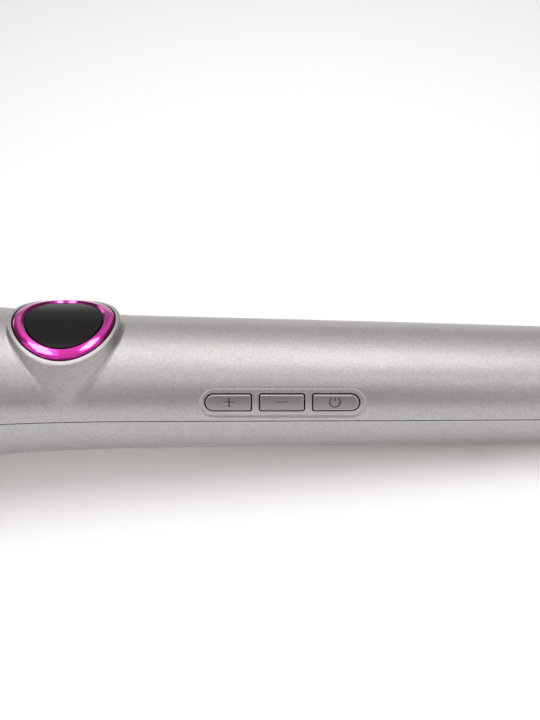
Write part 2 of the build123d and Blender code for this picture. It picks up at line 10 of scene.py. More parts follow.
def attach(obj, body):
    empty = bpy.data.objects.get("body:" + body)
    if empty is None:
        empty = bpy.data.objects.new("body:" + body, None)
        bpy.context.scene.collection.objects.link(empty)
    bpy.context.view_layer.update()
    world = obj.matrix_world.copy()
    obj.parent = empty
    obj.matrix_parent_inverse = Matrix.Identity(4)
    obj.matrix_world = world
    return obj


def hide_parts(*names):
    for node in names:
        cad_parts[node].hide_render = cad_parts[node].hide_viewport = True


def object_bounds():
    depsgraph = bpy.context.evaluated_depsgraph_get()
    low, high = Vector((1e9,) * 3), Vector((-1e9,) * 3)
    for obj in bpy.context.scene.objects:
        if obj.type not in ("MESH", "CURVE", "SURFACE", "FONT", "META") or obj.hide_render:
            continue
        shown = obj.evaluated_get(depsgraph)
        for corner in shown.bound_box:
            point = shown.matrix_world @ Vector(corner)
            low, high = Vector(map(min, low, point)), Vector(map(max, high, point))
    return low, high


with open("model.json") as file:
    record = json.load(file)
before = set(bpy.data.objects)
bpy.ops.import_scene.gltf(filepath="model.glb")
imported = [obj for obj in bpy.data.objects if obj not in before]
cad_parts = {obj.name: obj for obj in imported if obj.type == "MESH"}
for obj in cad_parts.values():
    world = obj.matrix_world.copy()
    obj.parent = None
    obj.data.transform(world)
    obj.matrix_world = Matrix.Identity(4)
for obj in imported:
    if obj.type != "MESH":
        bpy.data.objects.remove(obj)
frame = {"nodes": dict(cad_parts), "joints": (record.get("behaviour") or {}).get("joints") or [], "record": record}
cad_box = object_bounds()
NODES = frame["nodes"]

# ============================================================================
# The handle's own frame: X along its axis (cone to cord), buttons on -Y, display
# on +Z, millimetres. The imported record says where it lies: the cord gland turns
# about the handle's axis, at x = 90.
# ============================================================================
TURN = [j for j in frame["joints"] if j["name"] == "cord_turn"][0]
HX = np.array(TURN["axis"], float)
HX /= np.linalg.norm(HX)
HY = np.array([0.0, 1.0, 0.0])
HZ = np.cross(HX, HY)
HO = np.array(TURN["pos_m"], float) - HX * 0.090


def to_row(p):
    p = np.asarray(p, float)
    return HO + (p[..., 0:1] * HX + p[..., 1:2] * HY + p[..., 2:3] * HZ) * 1e-3


def dir_row(n):
    n = np.asarray(n, float)
    return n[..., 0:1] * HX + n[..., 1:2] * HY + n[..., 2:3] * HZ


# ---- dimensions (mm) -------------------------------------------------------
WALL = 2.0
SEAM, SEAM_Z, SEAM_TILT = 0.10, 0.35, math.radians(0.24)
HANDLE = [(-91.0, 21.70), (-80.0, 20.72), (-69.0, 19.60), (-56.0, 18.72), (-40.5, 18.08), (-19.0, 17.60),
          (13.5, 16.96), (46.0, 16.28), (80.0, 15.45)]
LUG_X, LUG_R, LUG_SLOPE = -54.5, 14.87, 0.27
SADDLE_R, SADDLE_TOP = 30.0, 20.42
SADDLE_C = SADDLE_TOP - SADDLE_R
RIM_LOW = SADDLE_C + math.sqrt(SADDLE_R ** 2 - LUG_R ** 2)
POCKET_R, HOLE_R = 13.72, 11.6
BEZEL_RO, BEZEL_RI, WINDOW_R = 13.60, 10.35, 10.25
KEY_X, KEY_ELEV, KEY_TAPER, KEY_FLOOR = 3.45, math.radians(18.9), math.radians(1.17), 16.80
PILL_L, PILL_W, PILL_D = 43.4, 7.8, 0.25
KEY_H, KEY_V, KEY_PROUD, KEY_GAP = 4.36, 0.15, 0.10, 0.33
KEYS = {"plus_button": (-20.29, -8.40), "minus_button": (-6.01, 5.50), "power_button": (7.92, 19.97)}
SIGN = {"plus_button": (0.26, 0.17), "minus_button": (-0.03, 0.17), "power_button": (-0.37, 0.17)}   # the symbols' offsets


# ---- the handle's radius as a function of x --------------------------------
def clamped_spline(pts, d0, d1):
    """second derivatives of the cubic spline through pts with end slopes d0 and d1"""
    x = np.array([p[0] for p in pts])
    y = np.array([p[1] for p in pts])
    n, h = len(x), np.diff(x)
    a, b = np.zeros((n, n)), np.zeros(n)
    a[0, 0], a[0, 1], b[0] = 2 * h[0], h[0], 6 * ((y[1] - y[0]) / h[0] - d0)
    a[-1, -1], a[-1, -2], b[-1] = 2 * h[-1], h[-1], 6 * (d1 - (y[-1] - y[-2]) / h[-1])
    for i in range(1, n - 1):
        a[i, i - 1], a[i, i], a[i, i + 1] = h[i - 1], 2 * (h[i - 1] + h[i]), h[i]
        b[i] = 6 * ((y[i + 1] - y[i]) / h[i] - (y[i] - y[i - 1]) / h[i - 1])
    return x, y, np.linalg.solve(a, b)


SX, SY, SM = clamped_spline(HANDLE, -0.045, -0.024)


def radius(x):
    """the handle's outer radius between x = -91 and x = 80"""
    x = np.clip(np.asarray(x, float), SX[0], SX[-1])
    i = np.clip(np.searchsorted(SX, x) - 1, 0, len(SX) - 2)
    h = SX[i + 1] - SX[i]
    a, b = (SX[i + 1] - x) / h, (x - SX[i]) / h
    return a * SY[i] + b * SY[i + 1] + ((a ** 3 - a) * SM[i] + (b ** 3 - b) * SM[i + 1]) * h * h / 6


def slope(x):
    return (radius(x + 0.01) - radius(x - 0.01)) / 0.02


def bezier(pts, n):
    t = np.linspace(0, 1, n)[:, None]
    p = [np.array(q, float) for q in pts]
    return (1 - t) ** 3 * p[0] + 3 * t * (1 - t) ** 2 * p[1] + 3 * t * t * (1 - t) * p[2] + t ** 3 * p[3]


# ============================================================================
# Mesh collector: vertices in the handle frame (mm), faces, known normals
# ============================================================================
class Collector:
    def __init__(self):
        self.v, self.f, self.n = [], [], {}
        self.count = 0
        self.mi, self.bare_or_shade = [], 0               # faces made while this flag is 1 take the piece's second material. On most faces that is unpainted dark plastic, which also stands in for the shade in the gaps and at the seam. In the engraved strokes and round the display ring it is a dark colour that paints the shade there

    def add(self, points, normals=None):
        """adds an array of points and returns their indices in the same shape"""
        points = np.asarray(points, float)
        flat = points.reshape(-1, 3)
        ids = np.arange(self.count, self.count + len(flat))
        self.v.append(flat)
        if normals is not None:
            for i, n in zip(ids, np.asarray(normals, float).reshape(-1, 3)):
                self.n[int(i)] = n
        self.count += len(flat)
        return ids.reshape(points.shape[:-1])

    def grid(self, ids, keep=None, close=False, flip=False):
        """quads over a 2-D array of indices"""
        rows, cols = ids.shape
        nxt = cols if close else cols - 1
        for i in range(rows - 1):
            for j in range(nxt):
                if keep is not None and not keep[i, j]:
                    continue
                k = (j + 1) % cols
                q = (int(ids[i, j]), int(ids[i + 1, j]), int(ids[i + 1, k]), int(ids[i, k]))
                self.f.append(q[::-1] if flip else q)
                self.mi.append(self.bare_or_shade)

    def faces(self, tris, flip=False):
        for t in tris:
            t = tuple(int(k) for k in t)
            self.f.append(t[::-1] if flip else t)
            self.mi.append(self.bare_or_shade)

    def array(self):
        return np.concatenate(self.v)


def finish_mesh(name, col, body, replaces=(), mat=None, in_row=False, known=True):
    """a Blender object from a collector, with face-weighted normals except where the true ones are known"""
    v = col.array()
    row = np.clip(v if in_row else to_row(v), np.array(cad_box[0]), np.array(cad_box[1]))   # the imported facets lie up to 0.02 mm inside the true form
    me = bpy.data.meshes.new(name)
    me.from_pydata(row.tolist(), [], col.f)
    me.validate(verbose=False)
    me.update()
    bm = bmesh.new()
    bm.from_mesh(me)
    bmesh.ops.recalc_face_normals(bm, faces=bm.faces)
    vol = bm.calc_volume(signed=True)
    open_edges = sum(1 for e in bm.edges if len(e.link_faces) != 2)
    if vol < 0:
        bmesh.ops.reverse_faces(bm, faces=bm.faces)
    bm.to_mesh(me)
    bm.free()
    me.update()
    print("MESH", name, "verts", len(me.vertices), "faces", len(me.polygons), "open", open_edges, "vol cm3 %.3f" % (abs(vol) * 1e6))
    for p in me.polygons:
        p.use_smooth = True
    normals = area_normals(me)
    if known and col.n:
        ids = np.array(sorted(col.n))
        given = np.array([col.n[i] for i in ids])
        if not in_row:
            given = dir_row(given)
        good = ids < len(normals)
        normals[ids[good]] = given[good]
    me.normals_split_custom_set_from_vertices(normals.tolist())
    obj = bpy.data.objects.new(name, me)
    bpy.context.scene.collection.objects.link(obj)
    for m in (mat if isinstance(mat, tuple) else (mat,)):
        me.materials.append(m)
    if any(col.mi) and len(col.mi) == len(me.polygons):
        me.polygons.foreach_set("material_index", col.mi)
    for n in replaces:
        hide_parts(n)
    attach(obj, body)
    return obj


def area_normals(me):
    n = len(me.vertices)
    fn = np.zeros(len(me.polygons) * 3)
    me.polygons.foreach_get("normal", fn)
    fn = fn.reshape(-1, 3)
    area = np.zeros(len(me.polygons))
    me.polygons.foreach_get("area", area)
    loops = np.zeros(len(me.loops), int)
    me.loops.foreach_get("vertex_index", loops)
    total = np.zeros(len(me.polygons), int)
    me.polygons.foreach_get("loop_total", total)
    face = np.repeat(np.arange(len(me.polygons)), total)
    out = np.zeros((n, 3))
    np.add.at(out, loops, fn[face] * area[face][:, None])
    length = np.linalg.norm(out, axis=1)
    length[length < 1e-20] = 1
    return out / length[:, None]


def inside_polygon(pts, poly):
    """even-odd test of pts (n, 2) against a closed polygon (m, 2)"""
    x, y = pts[:, 0][:, None], pts[:, 1][:, None]
    x0, y0 = poly[:, 0][None], poly[:, 1][None]
    x1, y1 = np.roll(poly[:, 0], -1)[None], np.roll(poly[:, 1], -1)[None]
    with np.errstate(divide="ignore", invalid="ignore"):
        cross = ((y0 > y) != (y1 > y)) & (x < (x1 - x0) * (y - y0) / (y1 - y0) + x0)
    return cross.sum(1) % 2 == 1


def near_polygon(pts, poly, d):
    """whether each of pts lies within d of the closed polygon's edges"""
    out = np.zeros(len(pts), bool)
    a = poly[None]
    e = np.roll(poly, -1, 0)[None] - a
    size = np.maximum((e ** 2).sum(-1), 1e-12)
    for k in range(0, len(pts), 2000):
        q = pts[k:k + 2000][:, None]
        t = np.clip(((q - a) * e).sum(-1) / size, 0, 1)
        dist = np.hypot(*np.moveaxis(q - a - e * t[..., None], -1, 0)).min(1)
        out[k:k + 2000] = dist < d
    return out


def cdt(coords, loops, keep):
    """constrained triangulation: coords (n, 2), loops = lists of indices (closed) or (a, b) pairs, keep(centroids) -> mask"""
    edges = []
    for loop in loops:
        if len(loop) == 2:
            edges.append((int(loop[0]), int(loop[1])))
        else:
            edges += [(int(loop[i]), int(loop[(i + 1) % len(loop)])) for i in range(len(loop))]
    res = delaunay_2d_cdt([Vector(c) for c in coords.tolist()], edges, [], 0, 1e-7)
    verts, faces, orig = res[0], res[2], res[3]
    if len(verts) != len(coords):
        print("CDT changed its points:", len(coords), "->", len(verts), [(round(v[0], 3), round(v[1], 3)) for v, o in zip(verts, orig) if len(o) != 1][:8])
    back = [o[0] if o else -1 for o in orig]
    tri = np.array(faces, int)
    cen = np.array([[sum(verts[k][0] for k in t) / 3, sum(verts[k][1] for k in t) / 3] for t in faces])
    mask = keep(cen)
    out = []
    for t, m in zip(tri, mask):
        if m:
            q = [back[k] for k in t]
            if -1 not in q and len(set(q)) == 3:
                a, b, c = coords[q[0]], coords[q[1]], coords[q[2]]
                if (b[0] - a[0]) * (c[1] - a[1]) - (b[1] - a[1]) * (c[0] - a[0]) < 0:
                    q = q[::-1]
                out.append(q)
    return out


# ============================================================================
# Half shells
# ============================================================================
RREF = 17.0


def chain_outer():
    """(x, r) from just inside the front opening, over the outside, to just inside the tail opening, with normals"""
    e = 0.25
    front = [(-95.6, 15.9), (-96.3, 15.9)]
    front += [(-97 + e - e * math.sin(a), 15.9 + e - e * math.cos(a)) for a in np.radians([0, 22, 45, 68, 90])]
    front += [(-97.0, 16.6), (-97.0, 17.4), (-97.0, 18.2)]
    nose = bezier([(-97, 19.0), (-97, 20.9), (-94.4, 21.85), (-91, 21.7)], 15)
    xs = np.concatenate([np.linspace(-91, -39, 53)[1:], np.linspace(-39, 80, 100)[1:]])
    main = np.stack([xs, radius(xs)], 1)
    tail = bezier([(80, 15.45), (85.6, 15.32), (90, 13.4), (90, 10.5)], 17)[1:]
    back = [(90.0, 9.8), (90.0, 9.3)]
    back += [(90 - e + e * math.sin(a), 8.7 + e - e * math.cos(a)) for a in np.radians([90, 68, 45, 22, 0])]
    back += [(89.0, 8.7), (88.2, 8.7)]
    p = np.concatenate([np.array(front), nose, main, tail, np.array(back)])
    # numeric normals: left of the direction of travel is outward
    t = np.zeros_like(p)
    d = np.diff(p, axis=0)
    length = np.linalg.norm(d, axis=1)[:, None]
    u = d / length
    t[0], t[-1] = u[0], u[-1]
    w0, w1 = 1 / length[:-1], 1 / length[1:]
    t[1:-1] = (u[:-1] * w0 + u[1:] * w1) / (w0 + w1)
    t /= np.linalg.norm(t, axis=1)[:, None]
    n = np.stack([-t[:, 1], t[:, 0]], 1)
    main_rows = (p[:, 0] >= -91) & (p[:, 0] <= 80) & (p[:, 1] > 15)
    s = slope(p[:, 0])
    k = np.sqrt(1 + s * s)
    n[main_rows] = np.stack([-s / k, 1 / k], 1)[main_rows]
    return p, n


def chain_inner():
    xs = np.concatenate([np.linspace(-88.6, -39, 34), np.linspace(-39, 77.5, 66)[1:]])
    main = [(x, float(radius(x)) - WALL) for x in xs]
    start = [(-95.2, 15.9), (-94.0, 15.9), (-94.0, 17.6), (-90.6, 17.6), (-90.6, 15.9), (-88.6, 15.9), (-88.6, 17.5)]
    end = [(77.5, 10.0), (77.5, 6.9), (79.5, 6.9), (79.5, 11.0), (87.0, 11.0), (87.0, 8.7), (87.6, 8.7)]
    return np.array(start + main + end)


def split_angle(x, r, side, upper):
    """angle from the side's horizontal to the parting plane's point at radius r, positive away from the plane"""
    z = SEAM_Z - x * math.tan(SEAM_TILT) + (SEAM if upper else -SEAM)
    a = np.arcsin(np.clip(z / r, -1, 1))
    return a if upper else -a


def place(x, r, phi):
    """phi from the -Y side up over the top"""
    return np.stack([x, -r * np.cos(phi), r * np.sin(phi)], -1)


def half_shell(name, upper, holes_outer, holes_inner, col, extra):
    """builds one half shell around hole loops already in the collector.
    holes_outer / holes_inner: lists of (indices, points) of closed loops on the outer and the inner skin"""
    sign = 1.0 if upper else -1.0
    ro = 0.12                                        # rounding of the edge at the parting line

    def sheet(chain, normals, columns, holes, margin, flip, soft):
        x, r = chain[:, 0], chain[:, 1]
        lo = split_angle(x, r, 0, upper)
        w = np.linspace(0, 1, columns)
        if soft:
            start = lo + ro / r
        else:
            start = lo
        psi = start[:, None] + (math.pi - 2 * start)[:, None] * w[None]
        pts = place(x[:, None] + 0 * psi, r[:, None] + 0 * psi, psi)
        nrm = None
        if normals is not None:
            nrm = np.stack([normals[:, 0][:, None] + 0 * psi, -normals[:, 1][:, None] * np.cos(psi), normals[:, 1][:, None] * np.sin(psi)], -1)
        if soft:                                     # rows of the rounded edge on both sides
            rows = []
            for side in (0, 1):
                a = start if side == 0 else math.pi - start
                p0 = place(x, r, a)
                n0 = np.stack([normals[:, 0], -normals[:, 1] * np.cos(a), normals[:, 1] * np.sin(a)], -1)
                t0 = np.stack([0 * a, np.sin(a), np.cos(a)], -1) * (1 if side == 0 else -1)
                c0 = p0 - ro * n0
                extra_rows = []
                for ang in np.radians([90, 60, 30]):
                    q = c0 + ro * (n0 * math.cos(ang) - t0 * math.sin(ang))
                    extra_rows.append((q, n0 * math.cos(ang) - t0 * math.sin(ang)))
                rows.append(extra_rows)
            pts = np.concatenate([np.stack([q for q, _ in rows[0]], 1), pts, np.stack([q for q, _ in rows[1]][::-1], 1)], 1)
            nrm = np.concatenate([np.stack([q for _, q in rows[0]], 1), nrm, np.stack([q for _, q in rows[1]][::-1], 1)], 1)
            psi = np.concatenate([np.repeat(psi[:, :1], 3, 1), psi, np.repeat(psi[:, -1:], 3, 1)], 1)
        if not upper:
            pts = pts * np.array([1, 1, -1.0])
            if nrm is not None:
                nrm = nrm * np.array([1, 1, -1.0])
        rows_, cols_ = psi.shape
        removed = np.zeros((rows_, cols_), bool)
        dom = np.stack([x[:, None] + 0 * psi, psi * RREF], -1)
        polys = []
        for ids, hp in holes:
            hz = hp[:, 2] * sign
            poly = np.stack([hp[:, 0], np.arctan2(hz, -hp[:, 1]) * RREF], 1)
            polys.append(poly)
            flat = dom.reshape(-1, 2)
            hit = inside_polygon(flat, poly) | near_polygon(flat, poly, margin)
            # only the smooth part of the chain can be cut
            ok = np.repeat(((x > -88) & (x < 77.4))[:, None], cols_, 1)
            if soft:                                 # the rounded edge stays whole
                ok[:, :4] = ok[:, -4:] = False
            ok = ok.reshape(-1)
            removed |= (hit & ok).reshape(rows_, cols_)
        cell_removed = removed[:-1, :-1] | removed[1:, :-1] | removed[:-1, 1:] | removed[1:, 1:]
        # vertices in use
        use = np.zeros((rows_, cols_), bool)
        kc = ~cell_removed
        for di in (0, 1):
            for dj in (0, 1):
                use[di:rows_ - 1 + di, dj:cols_ - 1 + dj] |= kc
        ids = np.full((rows_, cols_), -1)
        got = col.add(pts[use], None if nrm is None else nrm[use])
        ids[use] = got
        col.grid(ids, keep=~cell_removed, flip=flip)
        if polys:
            # staircase edges between a removed and a kept cell
            coords, index, loops = [], {}, []

            def local(i, j):
                if (i, j) not in index:
                    index[(i, j)] = len(coords)
                    coords.append(dom[i, j])
                return index[(i, j)]

            gids = []
            pairs = []
            cr = cell_removed
            for i in range(rows_):
                for j in range(cols_ - 1):           # edges along j
                    a = cr[i - 1, j] if i > 0 else False
                    b = cr[i, j] if i < rows_ - 1 else False
                    if a != b:
                        pairs.append(((i, j), (i, j + 1)))
            for i in range(rows_ - 1):
                for j in range(cols_):
                    a = cr[i, j - 1] if j > 0 else False
                    b = cr[i, j] if j < cols_ - 1 else False
                    if a != b:
                        pairs.append(((i, j), (i + 1, j)))
            for p, q in pairs:
                loops.append((local(*p), local(*q)))
            gids = [ids[k] for k in index]
            for (hid, hp), poly in zip(holes, polys):
                base = len(coords)
                coords += list(poly)
                gids += list(hid)
                loops.append(list(range(base, base + len(poly))))
            coords = np.array(coords)

            def keep(cen):
                i = np.clip(np.searchsorted(x_mono, cen[:, 0]) - 1, 0, len(x_mono) - 2) + first
                jj = np.zeros(len(cen), int)
                for k in range(len(cen)):
                    t = (cen[k, 0] - x[i[k]]) / (x[i[k] + 1] - x[i[k]])
                    line = ((1 - t) * psi[i[k]] + t * psi[i[k] + 1]) * RREF
                    jj[k] = min(max(np.searchsorted(line, cen[k, 1]) - 1, 0), cols_ - 2)
                m = cr[i, jj]
                for poly in polys:
                    m &= ~inside_polygon(cen, poly)
                return m

            mono = np.where((x > -88.5) & (x < 77.45) & (r > 13))[0]
            first = mono[0]
            x_mono = x[mono]
            tris = cdt(coords, loops, keep)
            gids = np.array(gids)
            col.faces([[gids[k] for k in t] for t in tris], flip=not flip)
        return ids

    oc, on = chain_outer()
    ic = chain_inner()
    outer = sheet(oc, on, 64, holes_outer, 0.28, not upper, True)
    # the inner skin, the openings' rims and the parting faces are unpainted dark plastic; at the parting line this dark
    # colour also stands in for the shade in the seam
    col.bare_or_shade = 1
    inner = sheet(ic, None, 40, holes_inner, 0.5, upper, False)
    # the two chains share their ends: bridge the openings, then close the parting faces
    v = col.array()
    for end in (0, -1):
        a, b = outer[end], inner[end]
        pa = np.array([math.atan2(v[k][2], v[k][1]) for k in a])
        pb = np.array([math.atan2(v[k][2], v[k][1]) for k in b])
        i = j = 0
        tris = []
        key_a, key_b = -np.abs(pa - pa[0]), -np.abs(pb - pb[0])
        while i < len(a) - 1 or j < len(b) - 1:
            step_a = i < len(a) - 1 and (j == len(b) - 1 or abs(key_a[i + 1]) <= abs(key_b[j + 1]))
            if step_a:
                tris.append((a[i], a[i + 1], b[j]))
                i += 1
            else:
                tris.append((a[i], b[j + 1], b[j]))
                j += 1
        flip = (end == 0) == upper
        col.faces(tris, flip=flip)
    for side in (0, -1):
        ring = list(outer[:, side]) + list(inner[:, side][::-1])
        pts = v[ring]
        xy = pts[:, :2]
        poly = xy.copy()
        tris = cdt(xy, [list(range(len(ring)))], lambda c: inside_polygon(c, poly))
        col.faces([[ring[k] for k in t] for t in tris], flip=upper)
    return outer, inner


# ---- the raised round lug for the display (outer skin, pocket and hole) -----
def saddle_z(y, drop=0.0):
    return SADDLE_C + np.sqrt((SADDLE_R - drop) ** 2 - y * y)


def lug_patch(col, n_theta=216):
    th = np.linspace(0, 2 * math.pi, n_theta, endpoint=False)
    ct, st = np.cos(th), np.sin(th)

    def at(r, z):
        return np.stack([LUG_X + r * ct, r * st, z + 0 * r], -1)

    def flank_r(z):
        """level sections of the flank are slightly oval"""
        a, b = LUG_R + LUG_SLOPE * (SADDLE_TOP - z), LUG_R + LUG_SLOPE * (RIM_LOW - z)
        return a * b / np.hypot(b * ct, a * st)

    # rim and foot of the flank, by iteration
    z = np.full(n_theta, 18.0)
    for _ in range(60):
        rr = flank_r(z)
        z = saddle_z(rr * st)
    r_rim, z_rim = rr, z

    def above(z):
        rr = flank_r(z)
        return np.hypot(rr * st, z) - radius(LUG_X + rr * ct)

    down = np.linspace(0, 1, 600)[None] * (z_rim - 3.6)[:, None]
    gap = np.stack([above(z_rim - down[:, k]) for k in range(600)], 1)
    first = np.where((gap < 0).any(1), np.argmax(gap < 0, 1), np.argmin(gap, 1))
    hi = z_rim - down[np.arange(n_theta), np.maximum(first - 1, 0)]
    lo = z_rim - down[np.arange(n_theta), first]
    for _ in range(40):
        mid = 0.5 * (hi + lo)
        under = above(mid) < 0
        lo, hi = np.where(under, mid, lo), np.where(under, hi, mid)
    z_foot = 0.5 * (hi + lo)
    r_foot = flank_r(z_foot)
    flank = np.hypot(r_foot - r_rim, z_foot - z_rim)
    fd = np.stack([(r_foot - r_rim) / flank, (z_foot - z_rim) / flank], -1)

    # the handle beyond the foot, by rays from the lug's centre on the axis
    a0 = np.arctan2(r_foot, z_foot)
    steps = np.linspace(0, 0.32, 81)
    al = a0[:, None] + steps[None]
    t = np.full(al.shape, 18.0)
    q = np.sqrt((np.sin(al) * st[:, None]) ** 2 + np.cos(al) ** 2)
    for _ in range(40):
        t = radius(LUG_X + t * np.sin(al) * ct[:, None]) / q
    hr, hz = t * np.sin(al), t * np.cos(al)
    arc = np.concatenate([np.zeros((n_theta, 1)), np.cumsum(np.hypot(np.diff(hr, axis=1), np.diff(hz, axis=1)), axis=1)], 1)

    def beyond(d):
        d = np.broadcast_to(d, (n_theta,))
        return (np.array([np.interp(d[k], arc[k], hr[k]) for k in range(n_theta)]),
                np.array([np.interp(d[k], arc[k], hz[k]) for k in range(n_theta)]))

    def land(d):
        """on the saddle, a distance d inward from the rim"""
        r = r_rim - d
        return r, saddle_z(r * st)

    def cubic(p0, t0, p1, t1, u, k):
        reach = np.hypot(p1[0] - p0[0], p1[1] - p0[1]) * k
        c0 = (p0[0] + t0[0] * reach, p0[1] + t0[1] * reach)
        c1 = (p1[0] - t1[0] * reach, p1[1] - t1[1] * reach)
        return tuple((1 - u) ** 3 * p0[i] + 3 * u * (1 - u) ** 2 * c0[i] + 3 * u * u * (1 - u) * c1[i] + u ** 3 * p1[i] for i in (0, 1))

    def unit(a, b):
        n = np.hypot(a, b)
        return a / n, b / n

    rows = []
    # hole through to the inside, ledge and pocket wall
    r = np.full(n_theta, HOLE_R)
    zin = np.sqrt((radius(LUG_X + r * ct) - WALL) ** 2 - (r * st) ** 2)
    rows.append(at(r, zin))
    rows.append(at(r, 0.5 * zin + 0.5 * saddle_z(r * st, 2.0)))
    rows.append(at(r, saddle_z(r * st, 2.0)))
    r = np.full(n_theta, POCKET_R)
    rows.append(at(r, saddle_z(r * st, 2.0)))
    rows.append(at(r, saddle_z(r * st, 1.0)))
    rows.append(at(r, saddle_z(r * st, 0.35)))
    e = 0.14
    for ang in np.radians([0, 30, 60, 90]):
        rr = POCKET_R + e - e * math.cos(ang) + 0 * r
        rows.append(at(rr, saddle_z(rr * st, e - e * math.sin(ang))))
    pocket_rows = len(rows)
    # the rim's land, its rounded edge, the flank, the fillet at its foot, the handle
    t_rim_s = np.full(n_theta, 0.50)
    t_rim_f = np.minimum(0.50, 0.42 * flank)
    low = np.clip((15.0 - z_foot) / 8.0, 0, 1)
    low = low * low * (3 - 2 * low)
    t_foot_h = 0.85 + 1.9 * low
    t_foot_f = np.minimum(t_foot_h, 0.42 * flank)
    land_w = r_rim - (POCKET_R + e) - t_rim_s
    for f in (0.70, 0.35):
        rows.append(at(*land(t_rim_s + land_w * f)))
    p0 = land(t_rim_s)
    d0 = unit(p0[0] - land(t_rim_s + 0.02)[0], p0[1] - land(t_rim_s + 0.02)[1])
    p1 = (r_rim + fd[:, 0] * t_rim_f, z_rim + fd[:, 1] * t_rim_f)
    d1 = (fd[:, 0], fd[:, 1])
    for u in np.linspace(0, 1, 8):
        rows.append(at(*cubic(p0, d0, p1, d1, u, 0.40)))
    p2 = (r_foot - fd[:, 0] * t_foot_f, z_foot - fd[:, 1] * t_foot_f)
    for u in np.linspace(0, 1, 10)[1:-1]:
        rows.append(at(p1[0] + (p2[0] - p1[0]) * u, p1[1] + (p2[1] - p1[1]) * u))
    p3 = beyond(t_foot_h)
    b0 = beyond(t_foot_h + 0.05)
    d3 = unit(b0[0] - p3[0], b0[1] - p3[1])
    for u in np.linspace(0, 1, 10):
        rows.append(at(*cubic(p2, d1, p3, d3, u, 0.38)))
    for d in (0.25, 0.5):
        rows.append(at(*beyond(t_foot_h + d)))
    pts = np.stack(rows)
    # normals by central differences over the grid, from the pocket's rounding outwards
    dk = np.gradient(pts, axis=0)
    dt = np.roll(pts, -1, 1) - np.roll(pts, 1, 1)
    nrm = np.cross(dk, dt)
    nrm /= np.linalg.norm(nrm, axis=2)[..., None]
    centre = np.array([LUG_X, 0, 0])
    if (nrm[-3, 0] * (pts[-3, 0] - centre)).sum() < 0:
        nrm = -nrm
    last = pts[-1]
    rho = np.hypot(last[:, 1], last[:, 2])
    s = slope(last[:, 0])
    k = np.sqrt(1 + s * s)
    nrm[-1] = np.stack([-s / k, last[:, 1] / rho / k, last[:, 2] / rho / k], 1)
    ids = np.zeros(pts.shape[:2], int)
    ids[:pocket_rows - 1] = col.add(pts[:pocket_rows - 1])
    ids[pocket_rows - 1:] = col.add(pts[pocket_rows - 1:], nrm[pocket_rows - 1:])
    # the hole, ledge and pocket wall are unpainted dark plastic; in the gap round the display ring this dark colour
    # also stands in for the shade there
    col.bare_or_shade = 1
    col.grid(ids[:6], close=True)
    col.bare_or_shade = 0
    col.grid(ids[5:], close=True)
    return (ids[-1], pts[-1]), (ids[0], pts[0])


# ---- frame of the recess for the buttons ------------------------------------
ce, se, ctp, stp = math.cos(KEY_ELEV), math.sin(KEY_ELEV), math.cos(KEY_TAPER), math.sin(KEY_TAPER)
KN = np.array([stp, -ce * ctp, se * ctp])
KX = np.array([ctp, ce * stp, -se * stp])
KY = np.cross(KN, KX)
KO = np.array([KEY_X, -ce * KEY_FLOOR, se * KEY_FLOOR])


def key_point(a, b, h):
    a, b, h = np.broadcast_arrays(a, b, h)
    return KO + a[..., None] * KX + b[..., None] * KY + h[..., None] * KN


def key_height(a, b, drop):
    """local height of the handle's surface, lowered by drop, over the point (a, b)"""
    a, b, drop = (np.asarray(k, float) for k in np.broadcast_arrays(a, b, drop))
    lo, hi = np.full(a.shape, -6.0), np.full(a.shape, 6.0)
    for _ in range(44):
        mid = 0.5 * (lo + hi)
        p = key_point(a, b, mid)
        out = np.hypot(p[..., 1], p[..., 2]) - (radius(p[..., 0]) - drop) > 0
        hi = np.where(out, mid, hi)
        lo = np.where(out, lo, mid)
    return 0.5 * (lo + hi)


def on_form(a, b, drop):
    return key_point(a, b, key_height(a, b, drop))


def pill_loop(q):
    """points of the recess's outline, q outside it"""
    r, half = PILL_W / 2, PILL_L / 2 - PILL_W / 2
    arc = np.linspace(-math.pi / 2, math.pi / 2, 29)
    line = np.linspace(-half, half, 62)[1:-1]
    right = np.stack([half + (r + q) * np.cos(arc), (r + q) * np.sin(arc)], 1)
    top = np.stack([line[::-1], np.full(60, r + q)], 1)
    left = np.stack([-half - (r + q) * np.cos(arc), -(r + q) * np.sin(arc)], 1)
    bot = np.stack([line, np.full(60, -r - q)], 1)
    return np.concatenate([right, top, left, bot])


def pill_distance(a, b):
    half = PILL_L / 2 - PILL_W / 2
    return np.hypot(np.maximum(np.abs(a) - half, 0), b) - PILL_W / 2


def pill_drop(a, b):
    """depth of the shallow dish: rounded at its edge and at its foot"""
    t = np.clip((0.46 - pill_distance(a, b)) / 1.04, 0, 1)
    return PILL_D * (t * t * t * (t * (6 * t - 15) + 10))


